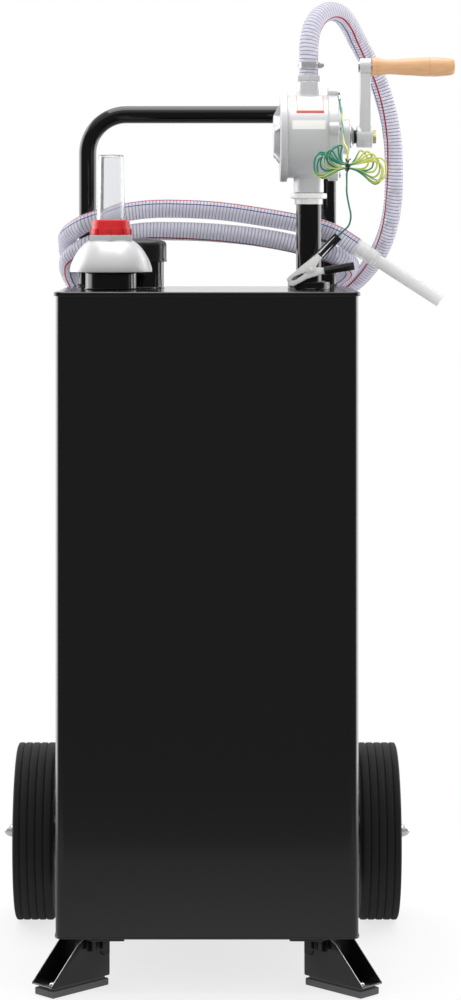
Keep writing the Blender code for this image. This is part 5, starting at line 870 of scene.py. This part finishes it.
body = bmesh.new()
lathe(body, soften([(0, 0.1107), (0.0627, 0.1107), (0.0627, 0.1010, 0.0018), (0.0570, 0.1007), (0.0300, 0.1007),
                    (0.0300, 0.0920, 0.0020), (0.0240, 0.0917), (0.0210, 0.0935), (0, 0.0935)], 0.0012), AXIS, "X", 128)
rib = bmesh.new()
plate(rib, [(0.0280, 0.0), (0.0440, 0.0), (0.0425, -0.0012), (0.0300, -0.0085)], -0.0030, 0.0030, edge=0.0010,
      plane="XZ")
part_turn = Matrix.Rotation(radians(90), 4, "Y") @ Matrix.Rotation(radians(180), 4, "Z")
bmesh.ops.transform(rib, matrix=part_turn, verts=rib.verts)
copies(body, rib, 5, (0.1007, AXIS.y, AXIS.z), turn=(tau / 5, 0, 0), material=cast)
end_plate = solid("end_closure", body, cast, "caddy", ["pump_end_plate"])

body = bmesh.new()
lathe(body, soften([(0.0078, 0.1668), (0.0592, 0.1668), (0.0592, 0.1800), (0.0575, 0.1803), (0.0420, 0.1803),
                    (0.0420, 0.1873), (0.0245, 0.1873), (0.0245, 0.1973, 0.0020), (0.0205, 0.1973), (0.0205, 0.1930),
                    (0.0078, 0.1930)], 0.0014), AXIS, "X", 128)
for turn in range(5):
    lathe(body, rod(0.0085, 0.1669, 0.1806, 0.0016), round_pump(0.0598, radians(9) + turn * tau / 5), "X", 40)
front_cover = solid("front_cover", body, cast, "caddy", ["pump_cover"])

# Cover screws: zinc-plated pan heads with a cross recess, one in each lug.
zinc, tree, shader = surface("bright_zinc_screw", "#D4D4D6", 0.22, Metallic=0.95)
grain(tree, shader, 0.002, 0.00001, 0.06)


def pan_screw(radius, height, flip=1):
    """A pan head about the origin that stands up the Z axis, with a cross cut into it."""
    body = bmesh.new()
    profile = [(0, 0), (radius, 0), (radius, height * 0.45)]
    profile += [(radius * cos(turn), height * (0.45 + 0.55 * sin(turn))) for turn in [step * pi / 2 / 8
                                                                                     for step in range(1, 6)]]
    profile += [(radius * 0.42, height), (radius * 0.16, height * 0.45), (0, height * 0.40)]
    lathe(body, profile, sides=32,
          bend=lambda angle, reach, level: 0.55 + 0.45 * abs(cos(2 * angle)) ** 2
          if radius * 0.1 < reach < radius * 0.5 else 1)
    bmesh.ops.scale(body, vec=(1, 1, flip), verts=body.verts)
    return body


body = bmesh.new()
head = pan_screw(0.0042, 0.0030)
bmesh.ops.transform(head, matrix=Matrix.Rotation(radians(90), 4, "Y"), verts=head.verts)
bmesh.ops.translate(head, vec=(0, 0, 0.0598), verts=head.verts)
bmesh.ops.rotate(head, cent=(0, 0, 0), matrix=Matrix.Rotation(radians(9), 3, "X"), verts=head.verts)
copies(body, head, 5, (0.1820, AXIS.y, AXIS.z), turn=(tau / 5, 0, 0), material=zinc)
cover_screws = solid("cover_screws", body, zinc, "caddy")

# Stickers: two labels of glossy white film on the casing's front. The upper one has an orange border that
# is thick and darker along its foot.
film, tree, shader = surface("white_label_film", "#F4F2EE", 0.30, Coat_Weight=0.3, Coat_Roughness=0.08)
grain(tree, shader, 0.006, 0.00001, 0.04)
border, tree, shader = surface("printed_orange_border", "#F2A48E", 0.32, Coat_Weight=0.3, Coat_Roughness=0.08)
grain(tree, shader, 0.006, 0.00001, 0.04)
foot_ink, tree, shader = surface("printed_red_band", "#B93423", 0.32, Coat_Weight=0.3, Coat_Roughness=0.08)
grain(tree, shader, 0.006, 0.00001, 0.04)


def label(name, left, right, low_turn, high_turn, lift, material):
    """A strip of film bent round the casing between two turns from the top."""
    body = bmesh.new()
    steps = 16
    turns = [low_turn + (high_turn - low_turn) * step / steps for step in range(steps + 1)]
    outline = [(radius, turn) for radius in (0.0574 + lift,) for turn in turns]
    outline += [(0.0572, turn) for turn in reversed(turns)]
    sides = [[body.verts.new(Vector((x, 0, 0)) + round_pump(radius, turn)) for radius, turn in outline]
             for x in (left, right)]
    for number in range(len(outline)):
        after = (number + 1) % len(outline)
        body.faces.new((sides[0][number], sides[0][after], sides[1][after], sides[1][number]))
    for side in sides:
        for step in range(steps):
            body.faces.new((side[step], side[step + 1], side[-step - 2], side[-step - 1]))
    return solid(name, body, material, "caddy")


rating_border = label("rating_label_border", 0.1227, 0.1606, radians(12), radians(53.5), 0.00010, border)
rating_foot = label("rating_label_foot", 0.1227, 0.1606, radians(53.6), radians(57.3), 0.00012, foot_ink)
rating_label = label("rating_label", 0.1243, 0.1590, radians(12), radians(52.4), 0.00016, film)
plain_label = label("plain_label", 0.1168, 0.1622, radians(68.7), radians(81.5), 0.00012, film)

# Packing gland: a turned cone that is screwed on the boss, with rings of black graphited packing behind the
# crank.
graphite, tree, shader = surface("graphited_packing", "#1E1E20", 0.5)
grain(tree, shader, 0.0006, 0.00006, 0.08)
body = bmesh.new()
lathe(body, soften([(0.0078, 0.1976), (0.0165, 0.1976), (0.0163, 0.1992), (0.0110, 0.2035), (0.0078, 0.2035)], 0.0005),
      AXIS, "X", 64)
gland = solid("gland_cone", body, turned, "caddy")
body = bmesh.new()
rings = [(0.0078, 0.2033)]
for number in range(3):
    start = 0.2034 + 0.0011 * number
    rings += [(0.0094, start), (0.0096, start + 0.0006), (0.0085, start + 0.0008), (0.0085, start + 0.0010)]
lathe(body, rings + [(0.0094, 0.2068), (0.0078, 0.2068)], AXIS, "X", 64)
packing = solid("shaft_packing", body, graphite, "caddy", ["packing_gland"])

# Hose tail: a cast hex that screws into the outlet neck, with a barb up into the hose. A worm-drive clamp of
# stainless band with a slotted screw holds the hose on it.
body = bmesh.new()
lathe(body, soften([(0.0060, 1.2108), (0.0150, 1.2108), (0.0150, 1.2186), (0.0060, 1.2186)], 0.0008), SUCTION,
      sides=72, bend=hexagon(0.012))
lathe(body, [(0.0060, 1.2184), (0.0078, 1.2184), (0.0078, 1.2240), (0.0083, 1.2245), (0.0078, 1.2290), (0.0083, 1.2295),
             (0.0078, 1.2340), (0.0083, 1.2345), (0.0078, 1.2390), (0.0082, 1.2396), (0.0076, 1.2426),
             (0.0060, 1.2426)], SUCTION, sides=48)
tail = solid("hose_barb", body, cast, "caddy", ["hose_tail"])
body = bmesh.new()
lathe(body, soften([(0.0138, 1.2286), (0.0148, 1.2286), (0.0145, 1.2292), (0.0145, 1.2365), (0.0148, 1.2371),
                    (0.0138, 1.2371)], 0.0003), SUCTION, sides=96)
slot_part = bmesh.new()
plate(slot_part, [(0.0142, -0.0006), (0.0150, -0.0005), (0.0150, 0.0005), (0.0142, 0.0006)], -0.0026, 0.0026,
      edge=0.0002, plane="XY")
copies(body, slot_part, 24, (0.141, 0.200, 1.23285), turn=(0, 0, tau / 24), material=chrome)
box(body, (0.1552, 0.1945, 1.2290), (0.1600, 0.2055, 1.2367), edge=0.0010)
lathe(body, rod(0.0035, -0.0060, 0.0060, 0.0008), (0.1588, 0.2000, 1.2328), "-Y", 24)
head = pan_screw(0.0036, 0.0020)
bmesh.ops.transform(head, matrix=Matrix.Translation((0.1588, 0.1942, 1.2328)) @ AXIS_TURNS["-Y"], verts=head.verts)
absorb(body, head)
clamp = solid("worm_clamp", body, chrome, "caddy", ["hose_clamp"])

# Crank: a cast arm that is keyed on the shaft under a brass nut. A beech grip with two turned grooves spins
# on a steel pin through the arm's top boss.
CRANK_TOP = 1.231
body = bmesh.new()
lathe(body, soften([(0.0078, 0.2073), (0.0140, 0.2073), (0.0150, 0.2083), (0.0150, 0.2282), (0.0140, 0.2292),
                    (0.0078, 0.2292)], 0.0010), AXIS, "X", 96,
      lambda angle, radius, height: 1 + 0.005 * cos(32 * angle) if radius > 0.0140 else 1)
arm_outline = [(0.0152 * cos(turn), 1.134 + 0.0152 * sin(turn)) for turn in [pi + pi * step / 12 for step in range(13)]]
arm_outline += [(0.0112, 1.1500), (0.0095, 1.2220), (-0.0095, 1.2220), (-0.0112, 1.1500)]
plate(body, [(0.200 + y, z) for y, z in arm_outline], 0.2120, 0.2270, edge=0.0022, plane="YZ")
lathe(body, soften([(0.0042, 0.2118), (0.0110, 0.2118), (0.0118, 0.2128), (0.0118, 0.2262), (0.0110, 0.2272),
                    (0.0042, 0.2272)], 0.0012), (0, 0.2, CRANK_TOP), "X", 64)
crank_arm = solid("crank_casting", body, cast, "crank", ["crank_arm"])
brass_metal, tree, shader = surface("brass_nut", "#DDD3A0", 0.28, Metallic=0.8)
grain(tree, shader, 0.002, 0.00001, 0.08)
body = bmesh.new()
lathe(body, soften([(0.0078, 0.2295), (0.0092, 0.2295), (0.0092, 0.2343), (0.0078, 0.2343)], 0.0005), AXIS, "X", 72,
      bend=hexagon(0.0085))
brass_nut = solid("crank_hex_nut", body, brass_metal, "crank", ["crank_nut"])

beech, tree, shader = surface("varnished_beech", "#E6B07A", 0.36, Coat_Weight=0.35, Coat_Roughness=0.15)
place = add(tree, "ShaderNodeTexCoord").outputs["Object"]
place = add(tree, "ShaderNodeMapping", {"Vector": place, "Scale": (1, 14, 14)}).outputs[0]
figure = add(tree, "ShaderNodeTexNoise", {"Vector": place, "Scale": 28, "Detail": 4.0, "Distortion": 0.4}).outputs[0]
shade = add(tree, "ShaderNodeMapRange", {0: figure, 1: 0.35, 2: 0.65}).outputs[0]
colour = add(tree, "ShaderNodeMix", {0: shade, 6: linear("#DAA675"), 7: linear("#E2B386")}, data_type="RGBA").outputs[2]
tree.links.new(colour, shader.inputs["Base Color"])
bump = add(tree, "ShaderNodeBump", {"Height": figure, "Strength": 1.0, "Distance": 0.00003}).outputs[0]
tree.links.new(bump, shader.inputs["Normal"])
GRIP_START, GRIP_LENGTH = 0.2286, 0.1147
grip_radii = [(0.000, 0.0118), (0.006, 0.0125), (0.026, 0.01275), (0.054, 0.0127), (0.057, 0.0122), (0.063, 0.0122),
              (0.066, 0.0126), (0.094, 0.0123), (0.131, 0.01135), (0.19, 0.0104), (0.235, 0.0104), (0.28, 0.0106),
              (0.356, 0.0114), (0.43, 0.0119), (0.506, 0.0123), (0.58, 0.0129), (0.655, 0.0134), (0.688, 0.0134),
              (0.691, 0.0129), (0.696, 0.0129), (0.699, 0.0134), (0.768, 0.0135), (0.82, 0.0132), (0.88, 0.0127),
              (0.955, 0.0117), (0.985, 0.0104), (1.000, 0.0086)]
body = bmesh.new()
lathe(body, [(0.0042, GRIP_START)] + [(radius, GRIP_START + GRIP_LENGTH * share) for share, radius in grip_radii]
      + [(0.0042, GRIP_START + GRIP_LENGTH)], (0, 0.2, CRANK_TOP), "X", 72)
grip = solid("beech_grip", body, beech, "grip", ["crank_grip"])

# Wheels: 10 inch tyres of solid rubber with five ribs, matte from their mould, on hubs of pressed steel in
# grey enamel. The axle is a zinc-plated rod in two welded brackets, and chromed caps close its ends.
AXLE_LINE = Vector((0, 0.412, 0.127))
rubber, tree, shader = surface("black_tyre_rubber", "#1C1C1D", 0.78, Specular_IOR_Level=0.35)
grain(tree, shader, 0.0011, 0.00012, 0.08, detail=6.0)
enamel, tree, shader = surface("grey_enamelled_steel", "#3A3B3D", 0.32, Coat_Weight=0.2)
grain(tree, shader, 0.002, 0.00002, 0.05)


def tyre_outline():
    """Bead, side wall with its moulded line, shoulder and ribs, in metres from the axle and along it."""
    points = [(0.0744, 0.2210, 0.0010), (0.0800, 0.2202), (0.0960, 0.2196, 0.004), (0.1040, 0.2196), (0.1046, 0.2203),
              (0.1060, 0.2203), (0.1066, 0.2196), (0.1200, 0.2196, 0.002), (0.1240, 0.2199, 0.0008)]
    for rib in range(5):
        start, end = 0.2222 + 0.0112 * rib, 0.2222 + 0.0112 * rib + (0.0096 if rib < 4 else 0.0076)
        points += [(0.1250, start - 0.0003, 0.0003), (0.1266, start + 0.0004), (0.1270, (start + end) / 2, 0.002),
                   (0.1266, end - 0.0004), (0.1250 if rib < 4 else 0.1261, end + 0.0003, 0.0003)]
    return points + [(0.1249, 0.2755, 0.0015), (0.1225, 0.2766, 0.002), (0.1120, 0.2768, 0.004), (0.1064, 0.2768),
                     (0.1060, 0.2761), (0.1046, 0.2761), (0.1042, 0.2768), (0.0960, 0.2768, 0.004), (0.0800, 0.2756),
                     (0.0744, 0.2740, 0.0010)]


for side, axis, sign in (("left", "-X", -1), ("right", "X", 1)):
    body = bmesh.new()
    lathe(body, soften(tyre_outline(), 0.0006), AXLE_LINE, axis, 128)
    solid("ribbed_tyre_" + side, body, rubber, "wheel_" + side, ["tyre_" + side], 40)
    body = bmesh.new()
    lathe(body, soften([(0.0083, 0.2185), (0.0210, 0.2185), (0.0210, 0.2622, 0.003), (0.0300, 0.2640, 0.004),
                        (0.0430, 0.2625, 0.004), (0.0600, 0.2625, 0.004), (0.0695, 0.2640, 0.003), (0.0695, 0.2200),
                        (0.0740, 0.2195), (0.0740, 0.2755), (0.0700, 0.2755), (0.0695, 0.2670, 0.003),
                        (0.0600, 0.2655, 0.004), (0.0430, 0.2655, 0.004), (0.0300, 0.2690, 0.004), (0.0210, 0.2695, 0.002),
                        (0.0210, 0.2758), (0.0195, 0.2765), (0.0083, 0.2765)], 0.0008, steps=4), AXLE_LINE, axis, 96)
    nut_head = bmesh.new()
    lathe(nut_head, soften([(0, 0.2655), (0.0062, 0.2655), (0.0062, 0.2700), (0, 0.2708)], 0.0006), (0, 0, 0.0520), axis,
          36, hexagon(0.004))
    copies(body, nut_head, 4, AXLE_LINE, turn=(tau / 4, 0, 0), material=enamel)
    solid("pressed_hub_" + side, body, enamel, "wheel_" + side, ["hub_" + side])
    body = bmesh.new()
    dome = [(0.0091 * cos(turn), 0.2833 + 0.0130 * sin(turn)) for turn in [pi / 2 * step / 12 for step in range(12)]]
    lathe(body, [(0.0083, 0.2768), (0.0086, 0.2768), (0.0091, 0.2774)] + dome + [(0, 0.2963), (0, 0.2828),
                                                                               (0.0083, 0.2828)], AXLE_LINE, axis, 64)
    solid("chrome_cap_" + side, body, chrome, "wheel_" + side, ["axle_cap_" + side])
    body = bmesh.new()
    low_x, high_x = sorted((sign * 0.150, sign * 0.190))
    box(body, (low_x, 0.3953, 0.1070), (high_x, 0.4013, 0.1920), edge=0.0012)
    lathe(body, collar(0.0083, 0.0140, 0.1500, 0.2182, 0.0010), AXLE_LINE, axis, 48)
    tube_along(body, [Vector((sign * (0.151 + 0.0013 * step), 0.4008, 0.1385)) for step in range(30)],
               [0.0020 + 0.0003 * sin(step * pi / 2) for step in range(30)], 8)
    solid("welded_bracket_" + side, body, powder, "caddy", ["axle_bracket_" + side])

# Front feet: channels of 2.5 mm steel bent to a U, cut slanting and welded under the corners, each on a
# rubber pad. A pan-head screw holds the pad, and hex bolts hold the flanges up against the base.
pad_rubber, tree, shader = surface("textured_pad_rubber", "#58585A", 0.80, Specular_IOR_Level=0.3)
grain(tree, shader, 0.0016, 0.0006, 0.06, kind="Voronoi")
FOOT_TOP, FOOT_FLOOR, FOOT_EDGE = 0.0707, 0.0135, 0.0200
# Painted highlight: thin pale strips laid on each foot's slanted cut edges and along the front lip of its floor stand
# for the light that these edges catch.
bright, tree, shader = surface("painted_edge_highlight", "#B4B4B6", 0.30, Metallic=0.3)
grain(tree, shader, 0.003, 0.00002, 0.08)
for side, sign in (("left", -1), ("right", 1)):
    seat = Matrix.Translation((sign * 0.2, 0, 0)) @ Matrix.Rotation(radians(90 + sign * 45), 4, "Z")
    body = bmesh.new()
    wall = [(-0.0230, FOOT_FLOOR), (0.0780, FOOT_FLOOR), (0.0800, FOOT_FLOOR + 0.002), (0.0800, FOOT_TOP),
            (0.0380, FOOT_TOP), (0.0360, 0.0690), (0.0240, 0.0632), (0.0205, 0.0600), (-0.0230, FOOT_FLOOR + 0.0030)]
    # The strips of painted highlight gather here.
    edges = bmesh.new()
    for face in (-1, 1):
        low, high = sorted((face * FOOT_EDGE, face * (FOOT_EDGE - 0.0025)))
        plate(body, wall, low, high, seat, 0.0006)
        plate(edges, [(0.0360, 0.0688), (0.0240, 0.0630), (0.0206, 0.0598), (-0.0226, 0.0167), (-0.0231, 0.0167),
                      (0.0203, 0.0603), (0.0238, 0.0635), (0.0360, 0.0693)], low + 0.0007, high - 0.0007, seat, 0)
        flange = [(0.0340, face * 0.0175), (0.0340, face * 0.0335), (0.0640, face * 0.0625), (0.0660, face * 0.0630),
                  (0.0790, face * 0.0502), (0.0800, face * 0.0485), (0.0800, face * 0.0175)]
        plate(body, flange, FOOT_TOP - 0.0025, FOOT_TOP, seat, 0.0005, "XY")
    plate(body, [(-0.0230, -0.0195), (0.0800, -0.0195), (0.0800, 0.0195), (-0.0230, 0.0195)], FOOT_FLOOR,
          FOOT_FLOOR + 0.0025, seat, 0.0004, "XY")
    plate(edges, [(-0.0232, -0.0190), (-0.0228, -0.0190), (-0.0228, 0.0190), (-0.0232, 0.0190)], FOOT_FLOOR + 0.0009,
          FOOT_FLOOR + 0.0016, seat, 0, "XY")
    solid("foot_cut_edges_" + side, edges, bright, "caddy")
    solid("bent_foot_" + side, body, powder, "caddy", ["foot_" + side])
    body = bmesh.new()
    rings = []
    for shrink, height in ((0.0006, 0), (0, 0.0008), (0, 0.0084), (0.0006, 0.0090), (0.0035, 0.0090), (0.0035, 0.0132)):
        outline = rounded_rectangle(0.04975 - shrink, 0.0180 - shrink, 0.0012, 3)
        rings.append([body.verts.new(seat @ Vector((0.03025 + x, y, height))) for x, y in outline])
    for low, high in zip(rings, rings[1:]):
        for number in range(len(low)):
            after = (number + 1) % len(low)
            body.faces.new((low[number], low[after], high[after], high[number]))
    body.faces.new(rings[0])
    body.faces.new(rings[-1])
    solid("rubber_pad_" + side, body, pad_rubber, "caddy", ["foot_pad_" + side])
    body = bmesh.new()
    head = pan_screw(0.0042, 0.0034)
    bmesh.ops.transform(head, matrix=seat @ Matrix.Translation((-0.0140, sign * 0.0110, FOOT_FLOOR + 0.0024)),
                        verts=head.verts)
    absorb(body, head)
    solid("pad_screw_" + side, body, zinc, "caddy")
    body = bmesh.new()
    for out, back, radius, low in ((0.0651, 0.0150, 0.0064, 0.0480), (0.0510, 0.0068, 0.0036, 0.0545)):
        for spot in ((sign * (0.2 - out), back, 0), (sign * (0.2 - back), out, 0)):
            lathe(body, soften([(0, low), (radius - 0.0008, low), (radius, low + 0.0012), (radius, 0.0678), (0, 0.0678)],
                               0.0005), spot, sides=48, bend=hexagon(0.006))
            lathe(body, collar(0.0020, radius + 0.0008, 0.0668, 0.0681, 0.0003), spot, sides=48)
    solid("foot_bolts_" + side, body, gloss, "caddy")

# Parts of the CAD model that stay as they are inside the tank and the pump, each in its own metal or plastic.
steel, tree, shader = surface("bright_zinc_rod", "#C4C4C6", 0.30, Metallic=1.0)
grain(tree, shader, 0.003, 0.00001, 0.06, stretch=(1, 6, 6))
for name, material in (("axle", steel), ("pump_shaft", steel), ("grip_pin", steel), ("pump_rotor", turned),
                       ("vane_1", graphite), ("vane_2", graphite), ("vane_3", graphite), ("gauge_stem", steel),
                       ("float_arm", steel), ("gauge_float", nylon), ("suction_strainer", steel)):
    for slot in bpy.data.objects[name].material_slots:
        slot.material = material

# Studio: a white floor that keeps a faint shadow, an overhead softbox, and a tall softbox behind each side. In
# mirrored light the room is bright only behind and above, so that black paint stays dark between bright edges,
# and in diffuse light it is brighter ahead and behind than at the sides.
floor, tree, shader = surface("white_studio_floor", "#FFFFFF", 0.9, Specular_IOR_Level=0.0)
output = tree.nodes["Material Output"]
place = add(tree, "ShaderNodeTexCoord").outputs["Object"]
distance = add(tree, "ShaderNodeVectorMath", {0: place}, operation="LENGTH").outputs["Value"]
fade = add(tree, "ShaderNodeMapRange", {0: distance, 1: 0.30, 2: 0.95, 3: 0.74, 4: 1.0},
           interpolation_type="SMOOTHSTEP").outputs[0]
mirrored = add(tree, "ShaderNodeLightPath").outputs["Is Glossy Ray"]
dimmed = add(tree, "ShaderNodeMath", {0: mirrored, 1: -0.68, 2: 1.0}, operation="MULTIPLY_ADD").outputs[0]
glow = add(tree, "ShaderNodeEmission", {"Color": (1, 1, 1, 1), "Strength": dimmed}).outputs[0]
mixed = add(tree, "ShaderNodeMixShader", {0: fade, 1: shader.outputs[0], 2: glow}).outputs[0]
tree.links.new(mixed, output.inputs["Surface"])
bpy.ops.mesh.primitive_plane_add(size=2.2, location=(0, 0, -0.0005))
ground = bpy.context.object
ground.name = "studio_floor"
ground.data.materials.append(floor)


def lamp(name, place, aim, size, power):
    light = bpy.data.lights.new(name, "AREA")
    light.shape, light.size, light.size_y, light.energy = "RECTANGLE", size[0], size[1], power
    piece = bpy.data.objects.new(name, light)
    piece.location = place
    piece.rotation_euler = (Vector(aim) - Vector(place)).to_track_quat("-Z", "Y").to_euler()
    bpy.context.collection.objects.link(piece)


lamp("overhead_softbox", (0, 0.2, 3.2), (0, 0.1, 0.6), (2.2, 2.2), 42)
for side in (-1, 1):
    lamp("side_softbox", (side * 2.35, 1.2, 1.2), (0, 0, 0.8), (2.3, 3.0), 42)

world = bpy.data.worlds.new("studio_room")
bpy.context.scene.world = world
world.use_nodes = True
tree = world.node_tree
tree.nodes.clear()
heading = add(tree, "ShaderNodeTexCoord").outputs["Generated"]
axes = add(tree, "ShaderNodeSeparateXYZ", {0: heading}).outputs
behind = add(tree, "ShaderNodeMapRange", {0: axes["Y"], 1: -0.15, 2: 0.35, 3: 0.10, 4: 1.0},
             interpolation_type="SMOOTHSTEP").outputs[0]
above = add(tree, "ShaderNodeMapRange", {0: axes["Z"], 1: 0.25, 2: 0.75, 3: 0.0, 4: 0.7},
            interpolation_type="SMOOTHSTEP").outputs[0]
level = add(tree, "ShaderNodeMath", {0: behind, 1: above}, operation="MAXIMUM").outputs[0]
rays = add(tree, "ShaderNodeLightPath").outputs
room = add(tree, "ShaderNodeBackground", {"Color": (1, 1, 1, 1), "Strength": level}).outputs[0]
ahead = add(tree, "ShaderNodeMath", {0: axes["Y"]}, operation="ABSOLUTE").outputs[0]
fill = add(tree, "ShaderNodeMapRange", {0: ahead, 1: 0.2, 2: 0.9, 3: 0.5, 4: 1.15},
           interpolation_type="SMOOTHSTEP").outputs[0]
soft = add(tree, "ShaderNodeBackground", {"Color": (1, 1, 1, 1), "Strength": fill}).outputs[0]
white = add(tree, "ShaderNodeBackground", {"Color": (1, 1, 1, 1), "Strength": 1.0}).outputs[0]
lit = add(tree, "ShaderNodeMixShader", {0: rays["Is Glossy Ray"], 1: soft, 2: room}).outputs[0]
seen = add(tree, "ShaderNodeMath", {0: rays["Is Camera Ray"], 1: rays["Is Transmission Ray"]},
           operation="MAXIMUM").outputs[0]
shown = add(tree, "ShaderNodeMixShader", {0: seen, 1: lit, 2: white}).outputs[0]
add(tree, "ShaderNodeOutputWorld", {0: shown})
bpy.context.scene.view_settings.view_transform = "Standard"
